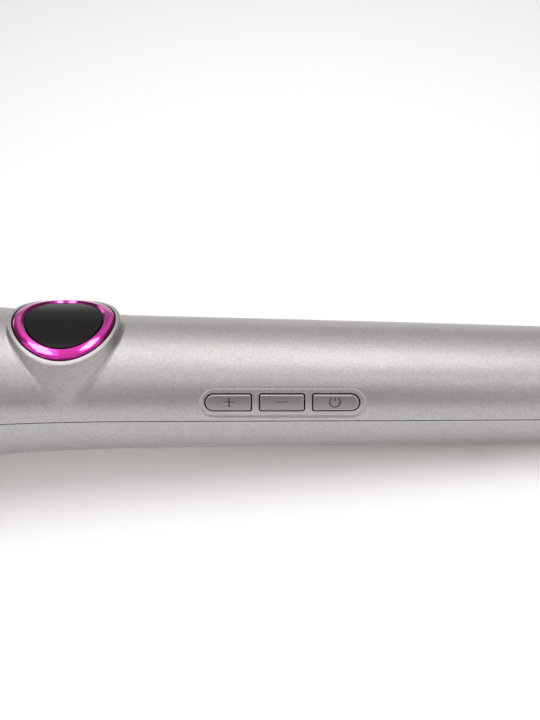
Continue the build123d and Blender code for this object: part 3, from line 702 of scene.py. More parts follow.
def key_outline(name, g):
    """a button's outline grown by g: the outer buttons have one round end"""
    a, b = KEYS[name]
    big, small = KEY_H / 2, 0.4
    left_r = big if name == "plus_button" else small
    right_r = big if name == "power_button" else small
    pts = []

    def arc(cx, cy, r, a0, a1, n):
        t = np.linspace(a0, a1, n)
        pts.extend(zip(cx + (r + g) * np.cos(t), cy + (r + g) * np.sin(t)))

    def line(p, q, n):
        for k in range(1, n):
            pts.append((p[0] + (q[0] - p[0]) * k / n, p[1] + (q[1] - p[1]) * k / n))

    h, v = KEY_H / 2 + g, KEY_V
    nb, ns = 25, 7
    # from the lower right corner, anticlockwise
    if right_r == big:
        arc(b - big, v, big, -math.pi / 2, math.pi / 2, nb)
    else:
        arc(b - small, v - KEY_H / 2 + small, small, -math.pi / 2, 0, ns)
        line((b + g, v - KEY_H / 2 + small), (b + g, v + KEY_H / 2 - small), 8)
        arc(b - small, v + KEY_H / 2 - small, small, 0, math.pi / 2, ns)
    line((b - right_r, v + h), (a + left_r, v + h), 22)
    if left_r == big:
        arc(a + big, v, big, math.pi / 2, 3 * math.pi / 2, nb)
    else:
        arc(a + small, v + KEY_H / 2 - small, small, math.pi / 2, math.pi, ns)
        line((a - g, v + KEY_H / 2 - small), (a - g, v - KEY_H / 2 + small), 8)
        arc(a + small, v - KEY_H / 2 + small, small, math.pi, 3 * math.pi / 2, ns)
    line((a + left_r, v - h), (b - right_r, v - h), 22)
    return np.array(pts)


def recess_patch(col):
    """the dish for the buttons with its three holes: returns its outer loop and the holes' inner loops"""
    qs = [0.52, 0.43, 0.34, 0.25, 0.15, 0.05, -0.06, -0.17, -0.28, -0.38, -0.48, -0.60]
    loops = [pill_loop(q) for q in qs]
    ab = np.stack(loops)

    def surface(ab):
        a, b = ab[..., 0], ab[..., 1]
        return on_form(a, b, pill_drop(a, b))

    def normals(ab):
        e = 0.02
        a, b = ab[..., 0], ab[..., 1]
        da = surface(np.stack([a + e, b], -1)) - surface(np.stack([a - e, b], -1))
        db = surface(np.stack([a, b + e], -1)) - surface(np.stack([a, b - e], -1))
        n = np.cross(da, db)
        return n / np.linalg.norm(n, axis=-1)[..., None]

    pts, nrm = surface(ab), normals(ab)
    ids = col.add(pts, nrm)
    col.grid(ids, close=True, flip=True)
    coords = [ab[-1]]
    gids = [ids[-1]]
    sets = [list(range(len(ab[-1])))]
    inner = []
    polys = []
    for name in KEYS:
        edge = 0.06
        rings, nn = [], []
        base = None
        for ang in np.radians([0, 30, 60, 90]):
            g = KEY_GAP + edge * (1 - math.sin(ang))
            o = key_outline(name, g)
            sink = edge * (1 - math.cos(ang))
            top = key_height(o[:, 0], o[:, 1], pill_drop(o[:, 0], o[:, 1])) - sink
            rings.append(key_point(o[:, 0], o[:, 1], top))
            if base is None:
                base = o
        o = key_outline(name, KEY_GAP)
        for h in (-1.0, -2.0):
            rings.append(key_point(o[:, 0], o[:, 1], np.full(len(o), h)))
        rings = np.stack(rings)
        first = col.add(rings[:1], normals(base)[None])
        rest = col.add(rings[1:])
        rid = np.concatenate([first, rest])
        col.grid(rid[:4], close=True, flip=True)
        # the holes' walls below their rounded rims are unpainted dark plastic; this dark colour also stands in for the
        # shade in the gaps round the keys
        col.bare_or_shade = 1
        col.grid(rid[3:], close=True, flip=True)
        col.bare_or_shade = 0
        inner.append((rid[-1], rings[-1]))
        start = sum(len(c) for c in coords)
        coords.append(base)
        gids.append(rid[0])
        sets.append(list(range(start, start + len(base))))
        polys.append(base)
    coords = np.concatenate(coords)
    gids = np.concatenate(gids)
    rim = ab[-1]

    def keep(c):
        m = inside_polygon(c, rim)
        for p in polys:
            m &= ~inside_polygon(c, p)
        return m

    tris = cdt(coords, sets, keep)
    col.faces([[gids[k] for k in t] for t in tris])
    return (ids[0], pts[0]), inner


def inner_boss(col, x, y, r, r_hole, z_end, z_blind, upper, n=40):
    """a round post on the inner skin, with a blind hole from its end"""
    t = np.linspace(0, 2 * math.pi, n, endpoint=False)
    s = 1 if upper else -1

    def ring(rad, z):
        return np.stack([x + rad * np.cos(t), y + rad * np.sin(t), np.broadcast_to(z, t.shape)], 1)

    base = ring(r, 0)
    zb = s * np.sqrt((radius(base[:, 0]) - WALL) ** 2 - base[:, 1] ** 2)
    rows = [ring(r, zb), ring(r, z_end + 0.2 * s), ring(r - 0.2, z_end), ring(r_hole, z_end), ring(r_hole, z_blind)]
    rows = np.stack(rows)
    ids = col.add(rows)
    col.grid(ids, close=True, flip=not upper)
    c = col.add(np.array([[x, y, z_blind]]))[0]
    tris = [(ids[-1][k], c, ids[-1][(k + 1) % n]) for k in range(n)]
    col.faces(tris, flip=upper)
    return ids[0], rows[0]


def screw_hole(col, x, y, seat, n=48):
    """counterbore from below through a boss of the lower shell"""
    t = np.linspace(0, 2 * math.pi, n, endpoint=False)
    top = SEAM_Z - x * math.tan(SEAM_TILT) - SEAM

    def ring(rad, z):
        return np.stack([x + rad * np.cos(t), y + rad * np.sin(t), np.broadcast_to(z, t.shape)], 1)

    def skin(rad, off):
        p = ring(rad, 0)
        return -np.sqrt((radius(p[:, 0]) - off) ** 2 - p[:, 1] ** 2)

    rb, e = 2.7, 0.22
    rows = [ring(3.9, skin(3.9, WALL)), ring(3.9, top - 0.2), ring(3.7, top), ring(1.5, top), ring(1.5, seat), ring(rb, seat)]
    known = []
    wall = skin(rb, 0)
    rows.append(ring(rb, wall + e + 0.3))
    for ang in np.radians([0, 30, 60, 90]):
        rad = rb + e - e * math.cos(ang)
        rows.append(ring(rad, skin(rad, 0) + e - e * math.sin(ang)))
    rows.append(ring(rb + e + 0.4, skin(rb + e + 0.4, 0)))
    rows.append(ring(rb + e + 0.9, skin(rb + e + 0.9, 0)))
    pts = np.stack(rows)
    ids = np.zeros(pts.shape[:2], int)
    ids[:-3] = col.add(pts[:-3])
    p = pts[-3:]
    rho = np.hypot(p[..., 1], p[..., 2])
    s = slope(p[..., 0])
    k = np.sqrt(1 + s * s)
    ids[-3:] = col.add(p, np.stack([-s / k, p[..., 1] / rho / k, p[..., 2] / rho / k], -1))
    col.grid(ids, close=True, flip=True)
    return (ids[-1], pts[-1]), (ids[0], pts[0])


# ============================================================================
# Display ring and window
# ============================================================================
def saddle_rings(profile, n):
    """rings about the lug's centre, from (r, height above the saddle) pairs"""
    th = np.linspace(0, 2 * math.pi, n, endpoint=False)
    rows = []
    for r, h in profile:
        y = r * np.sin(th)
        rows.append(np.stack([LUG_X + r * np.cos(th), y, SADDLE_C + np.sqrt((SADDLE_R + h) ** 2 - y * y)], 1))
    return np.stack(rows)


def smooth_curve(pts, per):
    """Catmull-Rom points through pts"""
    p = np.array(pts, float)
    p = np.concatenate([2 * p[:1] - p[1:2], p, 2 * p[-1:] - p[-2:-1]])
    out = []
    for i in range(1, len(p) - 2):
        for k in range(per):
            t = k / per
            out.append(0.5 * (2 * p[i] + (p[i + 1] - p[i - 1]) * t + (2 * p[i - 1] - 5 * p[i] + 4 * p[i + 1] - p[i + 2]) * t * t
                              + (3 * p[i] - 3 * p[i + 1] + p[i + 2] - p[i - 1]) * t ** 3))
    out.append(p[-2])
    return [tuple(q) for q in out]


def make_bezel(mat):
    top = smooth_curve([(13.42, -0.62), (13.41, -0.36), (13.39, -0.16), (13.32, 0.01), (13.14, 0.155), (12.85, 0.285), (12.40, 0.41), (11.95, 0.505), (11.55, 0.57), (11.25, 0.605)], 3)
    crest = smooth_curve([(11.25, 0.605), (11.13, 0.605), (11.04, 0.565)], 2)[1:]
    bevel = [(10.90, 0.44), (10.76, 0.315), (10.62, 0.19)]
    lip = smooth_curve([(10.50, 0.08), (10.42, -0.01), (10.37, -0.11), (10.35, -0.24)], 2)
    prof = [(10.35, -1.0), (10.35, -1.90), (10.40, -1.95), (11.9, -1.95), (13.52, -1.95), (13.60, -1.87), (13.60, -0.95), (13.56, -0.88)] + top + crest + bevel + lip
    pts = saddle_rings(prof, 256)
    col = Collector()
    ids = col.add(pts)
    ids = np.concatenate([ids, ids[:1]])
    edge = 8 + 5
    col.grid(ids[:5], close=True)
    # the ring's outer wall and shoulder take the second material, a dark purple that paints the shade in the gap
    # between the ring and the rim
    col.bare_or_shade = 1
    col.grid(ids[4:edge + 1], close=True)
    col.bare_or_shade = 0
    col.grid(ids[edge:], close=True)
    return finish_mesh("display_ring", col, "root", ["display_bezel"], mat)


def make_window(mat):
    th = 200
    edge = [(WINDOW_R - 0.14 * (1 - math.sin(a)), 0.12 - 0.14 * (1 - math.cos(a))) for a in np.radians([0, 22, 45, 68, 90])]
    prof = [(0.9, 0.15), (2.2, 0.15), (3.8, 0.148), (5.4, 0.145), (7.0, 0.14), (8.4, 0.133), (9.4, 0.126), (9.9, 0.121)] + edge
    prof += [(WINDOW_R, -1.0), (WINDOW_R, -1.80), (WINDOW_R - 0.1, -1.90), (6.0, -1.90), (1.0, -1.90)]
    pts = saddle_rings(prof, th)
    col = Collector()
    ids = col.add(pts)
    col.grid(ids, close=True)
    for row, h, flip in ((0, 0.15, True), (-1, -1.90, False)):
        c = col.add(np.array([[LUG_X, 0, SADDLE_TOP + h]]))[0]
        col.faces([(ids[row][k], ids[row][(k + 1) % th], c) for k in range(th)], flip=flip)
    return finish_mesh("display_lens", col, "root", ["display_window"], mat)


# ============================================================================
# Buttons, with engraved symbols
# ============================================================================
def rounded_poly(corners, r, n=4):
    """polygon (anticlockwise, x-y) with every corner rounded by radius r"""
    out = []
    m = len(corners)
    for i in range(m):
        p, a, b = (np.array(corners[k % m], float) for k in (i, i - 1, i + 1))
        u, v = (a - p) / np.linalg.norm(a - p), (b - p) / np.linalg.norm(b - p)
        ang = math.acos(max(-1, min(1, float(u @ v))))
        t = r / math.tan(ang / 2)
        s, e = p + u * t, p + v * t
        c = p + (u + v) / np.linalg.norm(u + v) * r / math.sin(ang / 2)
        a0, a1 = math.atan2(*(s - c)[::-1]), math.atan2(*(e - c)[::-1])
        d = (a1 - a0 + math.pi) % (2 * math.pi) - math.pi
        out += [tuple(c + r * np.array([math.cos(a0 + d * k / n), math.sin(a0 + d * k / n)])) for k in range(n + 1)]
    return np.array(out)


def grow_poly(poly, g):
    """poly (anticlockwise) moved outward by g along its vertex normals"""
    e = np.roll(poly, -1, 0) - poly
    e /= np.linalg.norm(e, axis=1)[:, None]
    n = np.stack([e[:, 1], -e[:, 0]], 1)
    v = n + np.roll(n, 1, 0)
    v /= np.linalg.norm(v, axis=1)[:, None]
    cosine = np.maximum((v * n).sum(1), 0.5)
    return poly + v * (g / cosine)[:, None]


def glyphs(name, cx, cy):
    """the engraved strokes, anticlockwise: a function of the inset for each, all its outlines having the same points"""
    w, wr = 0.225, 0.195

    def plus(s):
        a, b, h = 1.5 - s, 1.42 - s, w - s
        c = [(a, -h), (a, h), (h, h), (h, b), (-h, b), (-h, h), (-a, h), (-a, -h), (-h, -h), (-h, -b), (h, -b), (h, -h)]
        return rounded_poly(c, 0.05, 2)

    def minus(s):
        a, h = 1.55 - s, w - s
        return rounded_poly([(a, -h), (a, h), (-a, h), (-a, -h)], 0.05, 3)

    def arc(s):
        s = s * wr / w
        ro, ri = 1.375 + wr - s, 1.375 - wr + s
        g = math.radians(34) + s / 1.375
        t = np.linspace(math.pi / 2 + g, math.pi / 2 + 2 * math.pi - g, 49)
        return np.array([(ro * math.cos(k), ro * math.sin(k)) for k in t] + [(ri * math.cos(k), ri * math.sin(k)) for k in t[::-1]])

    def stem(s):
        s = s * wr / w
        h = wr - s
        return rounded_poly([(h, 0.10 + s), (h, 1.42 - s), (-h, 1.42 - s), (-h, 0.10 + s)], 0.04, 3)

    shapes = {"plus_button": [plus], "minus_button": [minus], "power_button": [arc, stem]}[name]
    out = []
    for shape in shapes:
        base = np.array(shape(0.0))
        area = 0.5 * np.sum(base[:, 0] * np.roll(base[:, 1], -1) - base[:, 1] * np.roll(base[:, 0], -1))
        steps = [max(1, int(math.ceil(np.linalg.norm(base[(i + 1) % len(base)] - base[i]) / 0.22))) for i in range(len(base))]

        def outline(s, shape=shape, area=area, steps=steps):
            q = np.array(shape(s))
            q = np.array([q[i] + (q[(i + 1) % len(q)] - q[i]) * k / n for i, n in enumerate(steps) for k in range(n)])
            return (q if area > 0 else q[::-1]) + np.array([cx, cy])

        out.append(outline)
    return out


def make_button(name, body, mat):
    a, b = KEYS[name]
    cx = (a + b) / 2
    col = Collector()

    def ring(g, drop_or_h, absolute=False):
        o = key_outline(name, g)
        if absolute:
            return key_point(o[:, 0], o[:, 1], np.full(len(o), drop_or_h)), o
        return key_point(o[:, 0], o[:, 1], key_height(o[:, 0], o[:, 1], -KEY_PROUD) - drop_or_h), o

    rows = []
    f = 0.75
    for g, h in ((f - 0.1, -2.9), (f, -2.8), (f, -2.2), (f - 0.1, -2.1), (0.06, -2.1), (0.0, -2.04), (0.0, -1.2), (0.0, -0.3)):
        rows.append(ring(g, h, True)[0])
    for g, sink in ((0.0, 0.30), (-0.015, 0.235), (-0.05, 0.175), (-0.10, 0.125), (-0.16, 0.080), (-0.225, 0.040), (-0.29, 0.012), (-0.36, 0.0)):
        p, o = ring(g, sink)
        rows.append(p)
    rows = np.stack(rows)
    ids = col.add(rows)
    # the key's underside and side walls are unpainted dark plastic; this dark colour also stands in for the shade in
    # the gap round the key
    col.bare_or_shade = 1
    col.grid(ids[:8], close=True, flip=True)
    col.bare_or_shade = 0
    col.grid(ids[7:], close=True, flip=True)
    # top, with its engraving
    coords, gids, sets = [o], [ids[-1]], [list(range(len(o)))]
    engraved = []
    for shape in glyphs(name, cx + SIGN[name][0], KEY_V + SIGN[name][1]):
        start = sum(len(c) for c in coords)
        rim = shape(-0.035)
        depth = [(rim, 0.0), (shape(-0.005), 0.012), (shape(0.025), 0.045), (shape(0.055), 0.085), (shape(0.080), 0.120), (shape(0.090), 0.145)]
        rings = []
        for q, d in depth:
            rings.append(key_point(q[:, 0], q[:, 1], key_height(q[:, 0], q[:, 1], -KEY_PROUD) - d))
        rid = col.add(np.stack(rings))
        col.grid(rid, close=True, flip=True)
        coords.append(rim)
        gids.append(rid[0])
        sets.append(list(range(start, start + len(rim))))
        engraved.append(rim)
        fl = depth[-1][0]
        tris = cdt(fl, [list(range(len(fl)))], lambda c, fl=fl: inside_polygon(c, fl))
        # the stroke's floor takes the dark second material, a painted shade at the bottom of the engraved groove
        col.bare_or_shade = 1
        col.faces([[rid[-1][k] for k in t] for t in tris])
        col.bare_or_shade = 0
    # a few inner points keep the top's triangles even
    gx, gy = np.meshgrid(np.arange(a + 0.8, b - 0.7, 0.8), np.arange(KEY_V - KEY_H / 2 + 0.75, KEY_V + KEY_H / 2 - 0.6, 0.8))
    pts = np.stack([gx.ravel(), gy.ravel()], 1)
    ok = inside_polygon(pts, key_outline(name, -0.62))
    for e in engraved:
        ok &= ~inside_polygon(pts, e) & ~near_polygon(pts, e, 0.30)
    pts = pts[ok]
    pid = col.add(on_form(pts[:, 0], pts[:, 1], -KEY_PROUD))
    coords.append(pts)
    gids.append(pid)
    coords, gids = np.concatenate(coords), np.concatenate(gids)

    def keep(c):
        m = inside_polygon(c, o)
        for e in engraved:
            m &= ~inside_polygon(c, e)
        return m

    tris = cdt(coords, sets, keep)
    col.faces([[gids[k] for k in t] for t in tris])
    # underside with its stem
    col.bare_or_shade = 1
    t = np.linspace(0, 2 * math.pi, 32, endpoint=False)
    stem = np.stack([cx + 1.3 * np.cos(t), KEY_V + 1.3 * np.sin(t)], 1)
    sid = col.add(np.stack([key_point(stem[:, 0], stem[:, 1], np.full(32, -2.9)), key_point(stem[:, 0], stem[:, 1], np.full(32, -3.6))]))
    col.grid(sid, close=True)
    under = key_outline(name, f - 0.1)
    coords = np.concatenate([under, stem])
    gids = np.concatenate([ids[0], sid[0]])
    n = len(under)
    tris = cdt(coords, [list(range(n)), list(range(n, n + 32))], lambda c: inside_polygon(c, under) & ~inside_polygon(c, stem))
    col.faces([[gids[k] for k in q] for q in tris], flip=True)
    c = col.add(key_point(np.array([cx]), np.array([KEY_V]), np.array([-3.6])))[0]
    col.faces([(sid[1][k], c, sid[1][(k + 1) % 32]) for k in range(32)])
    return finish_mesh(name.replace("button", "key_cap"), col, body, [name], mat)


# ============================================================================
# Turned pieces
# ============================================================================
def rounded_profile(pts):
    """closed outline from (x, r, rounding) triples"""
    out = []
    m = len(pts)
    for i in range(m):
        p = np.array(pts[i][:2], float)
        f = pts[i][2]
        a, b = np.array(pts[i - 1][:2], float), np.array(pts[(i + 1) % m][:2], float)
        la, lb = np.linalg.norm(a - p), np.linalg.norm(b - p)
        u, v = (a - p) / la, (b - p) / lb
        ang = math.acos(max(-1, min(1, float(u @ v))))
        if f <= 0 or ang > math.radians(179):
            out.append(tuple(p))
            continue
        t = min(f / math.tan(ang / 2), 0.48 * la, 0.48 * lb)
        r = t * math.tan(ang / 2)
        c = p + (u + v) / np.linalg.norm(u + v) * r / math.sin(ang / 2)
        s, e = p + u * t, p + v * t
        a0, a1 = math.atan2(*(s - c)[::-1]), math.atan2(*(e - c)[::-1])
        d = (a1 - a0 + math.pi) % (2 * math.pi) - math.pi
        n = 4 if abs(d) > 0.9 else 3
        out += [tuple(c + r * np.array([math.cos(a0 + d * k / n), math.sin(a0 + d * k / n)])) for k in range(n + 1)]
    return out


def subdivide_profile(pts, step):
    out = []
    for i in range(len(pts)):
        a, b = np.array(pts[i]), np.array(pts[(i + 1) % len(pts)])
        n = max(1, int(math.ceil(np.linalg.norm(b - a) / step)))
        out += [tuple(a + (b - a) * k / n) for k in range(n)]
    return out


def turned(col, profile, n=144, step=6.0):
    """adds a ring-shaped turned solid (no point of the profile on the axis)"""
    prof = subdivide_profile(rounded_profile(profile), step)
    t = np.linspace(0, 2 * math.pi, n, endpoint=False)
    rows = np.stack([np.stack([np.full(n, x), r * np.cos(t), r * np.sin(t)], 1) for x, r in prof])
    ids = col.add(rows)
    ids = np.concatenate([ids, ids[:1]])
    col.grid(ids, close=True)


def turned_full(col, profile, n=144, step=6.0):
    """adds a turned solid whose open profile starts and ends on the axis; the ends are (x, 0)"""
    x0, x1 = profile[0][0], profile[-1][0]
    inner = profile[1:-1]
    closed = rounded_profile([(x0, -5.0, 0)] + list(inner) + [(x1, -5.0, 0)])
    prof = closed[1:-1]
    dense = []
    for i in range(len(prof) - 1):
        a, b = np.array(prof[i]), np.array(prof[i + 1])
        k = max(1, int(math.ceil(np.linalg.norm(b - a) / step)))
        dense += [tuple(a + (b - a) * j / k) for j in range(k)]
    dense.append(prof[-1])
    t = np.linspace(0, 2 * math.pi, n, endpoint=False)
    rows = np.stack([np.stack([np.full(n, x), r * np.cos(t), r * np.sin(t)], 1) for x, r in dense])
    ids = col.add(rows)
    col.grid(ids, close=True)
    for row, x, flip in ((0, x0, True), (-1, x1, False)):
        c = col.add(np.array([[x, 0, 0]]))[0]
        col.faces([(ids[row][k], ids[row][(k + 1) % n], c) for k in range(n)], flip=flip)


def solid_object(name, col):
    """a plain closed mesh object in the row frame, for boolean work"""
    me = bpy.data.meshes.new(name)
    me.from_pydata(to_row(col.array()).tolist(), [], col.f)
    me.update()
    bm = bmesh.new()
    bm.from_mesh(me)
    bmesh.ops.recalc_face_normals(bm, faces=bm.faces)
    if bm.calc_volume(signed=True) < 0:
        bmesh.ops.reverse_faces(bm, faces=bm.faces)
    bm.to_mesh(me)
    bm.free()
    obj = bpy.data.objects.new(name, me)
    bpy.context.scene.collection.objects.link(obj)
    return obj


def combine(obj, others, operation):
    """exact boolean of obj with each of the others, which are removed"""
    for o in others:
        m = obj.modifiers.new("b", "BOOLEAN")
        m.solver, m.operation, m.object = "EXACT", operation, o
        deps = bpy.context.evaluated_depsgraph_get()
        me = bpy.data.meshes.new_from_object(obj.evaluated_get(deps))
        obj.modifiers.clear()
        obj.data = me
        bpy.data.objects.remove(o)
    return obj


def dress(obj, body, replaces, mat, angle=32):
    me = obj.data
    me.materials.clear()
    me.materials.append(mat)
    for p in me.polygons:
        p.use_smooth = True
        p.material_index = 0
    me.set_sharp_from_angle(angle=math.radians(angle))
    bm = bmesh.new()
    bm.from_mesh(me)
    print("MESH", obj.name, "faces", len(bm.faces), "open", sum(1 for e in bm.edges if len(e.link_faces) != 2), "vol cm3 %.3f" % (bm.calc_volume(signed=True) * 1e6))
    bm.free()
    for n in replaces:
        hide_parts(n)
    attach(obj, body)
    return obj


def bevelled(name, node, width, body, mat, segments=2, angle=30):
    """copy of a CAD node with every hard edge rounded"""
    src = NODES[node]
    me = src.data.copy()
    me.name = name
    bm = bmesh.new()
    bm.from_mesh(me)
    bmesh.ops.remove_doubles(bm, verts=bm.verts, dist=2e-7)
    bmesh.ops.dissolve_limit(bm, angle_limit=math.radians(0.8), verts=bm.verts, edges=bm.edges)
    bmesh.ops.recalc_face_normals(bm, faces=bm.faces)
    bm.to_mesh(me)
    bm.free()
    if me.has_custom_normals:
        me.attributes.remove(me.attributes["custom_normal"])
    obj = bpy.data.objects.new(name, me)
    bpy.context.scene.collection.objects.link(obj)
    m = obj.modifiers.new("bevel", "BEVEL")
    m.width, m.segments, m.limit_method, m.angle_limit = width * 1e-3, segments, "ANGLE", math.radians(angle)
    m.use_clamp_overlap, m.harden_normals, m.miter_outer = True, False, "MITER_ARC"
    deps = bpy.context.evaluated_depsgraph_get()
    out = bpy.data.meshes.new_from_object(obj.evaluated_get(deps))
    obj.modifiers.clear()
    obj.data = out
    return dress(obj, body, [node], mat, 40)


def box_cylinder(x0, x1, r, n=96):
    col = Collector()
    turned_full(col, [(x0, 0), (x0, r, 0), (x1, r, 0), (x1, 0)], n, 100)
    return solid_object("cutter", col)


def cross_cylinder(cx, cz, y0, y1, r, n=48):
    """closed cylinder along Y"""
    col = Collector()
    t = np.linspace(0, 2 * math.pi, n, endpoint=False)
    rows = np.stack([np.stack([cx + r * np.cos(t), np.full(n, y), cz + r * np.sin(t)], 1) for y in (y0, y1)])
    ids = col.add(rows)
    col.grid(ids, close=True)
    for k, y in ((0, y0), (1, y1)):
        c = col.add(np.array([[cx, y, cz]]))[0]
        col.faces([(ids[k][i], ids[k][(i + 1) % n], c) for i in range(n)])
    return solid_object("cutter", col)


def plate(outline, y0, y1, edge):
    """closed plate: an x-z outline (anticlockwise) between y0 and y1, with rounded rims"""
    col = Collector()
    out = np.array(outline)
    rows = []
    steps = [(0.0, edge), (edge * 0.3, edge * 0.7 * 0.45), (edge, 0.0)]
    for y, g in [(y0, edge), (y0 + 0.29 * edge, 0.29 * edge), (y0 + edge, 0.0), (y1 - edge, 0.0), (y1 - 0.29 * edge, 0.29 * edge), (y1, edge)]:
        q = grow_poly(out, -g)
        rows.append(np.stack([q[:, 0], np.full(len(q), y), q[:, 1]], 1))
    ids = col.add(np.stack(rows))
    col.grid(ids, close=True)
    for row in (0, -1):
        pts = rows[row][:, [0, 2]]
        tris = cdt(pts, [list(range(len(pts)))], lambda c, pts=pts: inside_polygon(c, pts))
        col.faces([[ids[row][k] for k in t] for t in tris])
    return solid_object("plate", col)


# ---- the collar between handle and cone --------------------------------------
COLLAR_F, COLLAR_R0, COLLAR_R1 = -119.0, 18.5, 17.9
PIN_X, PIN_Z, PIN_R = -114.0, -20.6, 1.0


def collar_r(x):
    return COLLAR_R0 - (COLLAR_R0 - COLLAR_R1) * (-97.7 - x) / 19.9


def make_collar(mat):
    prof = [(-97.3, 16.6, 0.1), (-97.3, 18.1, 0.12), (-97.7, COLLAR_R0, 0.3)]
    for gx in (-100.6, -103.6, -106.6):
        prof += [(gx + 0.6, collar_r(gx + 0.6), 0.16), (gx + 0.6, collar_r(gx) - 0.5, 0.16), (gx - 0.6, collar_r(gx) - 0.5, 0.16), (gx - 0.6, collar_r(gx - 0.6), 0.16)]
    prof += [(-117.6, COLLAR_R1, 0.6), (-118.6, COLLAR_R1 - 0.35, 0.5), (COLLAR_F, COLLAR_R1 - 1.0, 0.35), (COLLAR_F, 15.8, 0.25), (-116.2, 15.8, 0.15), (-116.2, 16.45, 0),
             (-103.4, 16.45, 0), (-103.4, 7.0, 0.2), (-101.0, 7.0, 0.2), (-101.0, 13.4, 0), (-91.8, 13.4, 0.2), (-91.8, 17.2, 0.15), (-93.7, 17.2, 0.1), (-93.7, 15.6, 0), (-97.3, 15.6, 0)]
    col = Collector()
    turned(col, prof, 160, 3.0)
    body = solid_object("heat_guard", col)
    adds, cuts = [], []
    for sy in (-1, 1):
        lo, hi = min(sy * 8.2, sy * 10.9), max(sy * 8.2, sy * 10.9)
        t = np.linspace(math.pi, 2 * math.pi, 21)
        out = [(PIN_X + 2.15 * math.cos(a), PIN_Z + 2.15 * math.sin(a)) for a in t]
        out += [(PIN_X + 2.15, z) for z in (-19, -17.5, -16.0, -14.0)] + [(PIN_X - 2.15, z) for z in (-14.0, -16.0, -17.5, -19)]
        adds.append(combine(plate(out, lo, hi, 0.35), [box_cylinder(-120.0, -108.0, 17.0, 160)], "DIFFERENCE"))
    combine(body, adds, "UNION")
    for sy in (-1, 1):
        lo, hi = min(sy * 8.2, sy * 10.9), max(sy * 8.2, sy * 10.9)
        cuts.append(cross_cylinder(PIN_X, PIN_Z, lo - 0.3, hi + 0.3, PIN_R + 0.02))
        col = Collector()
        t = np.linspace(0, 2 * math.pi, 32, endpoint=False)
        rows = np.stack([np.stack([np.full(32, x), 1.3 * np.cos(t), sy * 11.2 + 1.3 * np.sin(t)], 1) for x in (-104.0, -100.0)])
        ids = col.add(rows)
        col.grid(ids, close=True)
        for k, x in ((0, -104.0), (1, -100.0)):
            c = col.add(np.array([[x, 0, sy * 11.2]]))[0]
            col.faces([(ids[k][i], ids[k][(i + 1) % 32], c) for i in range(32)])
        cuts.append(solid_object("cutter", col))
    combine(body, cuts, "DIFFERENCE")
    return dress(body, "root", ["heat_collar"], mat)


def cone_r(x):
    return 15.5 - 6.5 / 160.0 * (-119.0 - x)


def make_cone(mat):
    a, b, w = -106.0, -279.0, 1.2
    prof = [(a, cone_r(a) - w, 0.2), (a, cone_r(a), 0.3), (b, cone_r(b), 0.35), (b, cone_r(b) - w, 0.3)]
    col = Collector()
    turned(col, prof, 176, 4.0)
    return finish_mesh("heated_cone", col, "root", ["barrel"], mat, in_row=False)


def make_tip(mat):
    b1 = bezier([(-281.5, 9.4), (-281.7, 9.95), (-282.6, 10.0), (-283.6, 9.95)], 9)
    b2 = bezier([(-294.0, 9.1), (-299.0, 8.7), (-302.2, 7.6), (-303.0, 4.4)], 22)

    def skin(x):
        return 9.95 - (-283.6 - x) * 0.85 / 10.4
    prof = [(-294.5, 1.45, 0), (-294.5, 6.8, 0), (-281.5, 6.8, 0.15)] + [(x, r, 0) for x, r in b1]
    for gx in (-286.4, -289.0, -291.6):
        g = 9.62 - (-283.6 - gx) * 0.0817 - 0.13
        prof += [(gx + 0.45, skin(gx + 0.45), 0.14), (gx + 0.45, g, 0.14), (gx - 0.45, g, 0.14), (gx - 0.45, skin(gx - 0.45), 0.14)]
    prof += [(x, r, 0) for x, r in b2[:-1]] + [(-303.0, 4.4, 0.25), (-303.0, 2.7, 0.25), (-299.8, 2.7, 0), (-299.8, 1.45, 0)]
    col = Collector()
    turned(col, prof, 144, 2.0)
    return finish_mesh("tip_cap", col, "root", ["cool_tip"], mat)


def make_gland(mat):
    b1 = bezier([(90.5, 9.2), (90.5, 9.75), (91.0, 9.9), (91.6, 9.75)], 9)
    b2 = bezier([(91.6, 9.75), (95.0, 8.9), (97.5, 7.0), (102.0, 6.5)], 28)
    b3 = bezier([(102.0, 6.5), (103.2, 6.4), (103.6, 6.0), (103.6, 5.2)], 9)
    prof = [(82.4, 2.6, 0.15), (82.4, 8.10, 0.2), (90.5, 8.10, 0.1)] + [(x, r, 0) for x, r in b1]
    prof += [(x, r, 0) for x, r in b2[1:]] + [(x, r, 0) for x, r in b3[1:]] + [(103.6, 3.5, 0.35), (91.2, 3.5, 0), (91.2, 2.6, 0.15)]
    col = Collector()
    turned(col, prof, 144, 2.0)
    return finish_mesh("cord_gland", col, "cord_swivel", ["swivel_gland"], mat)


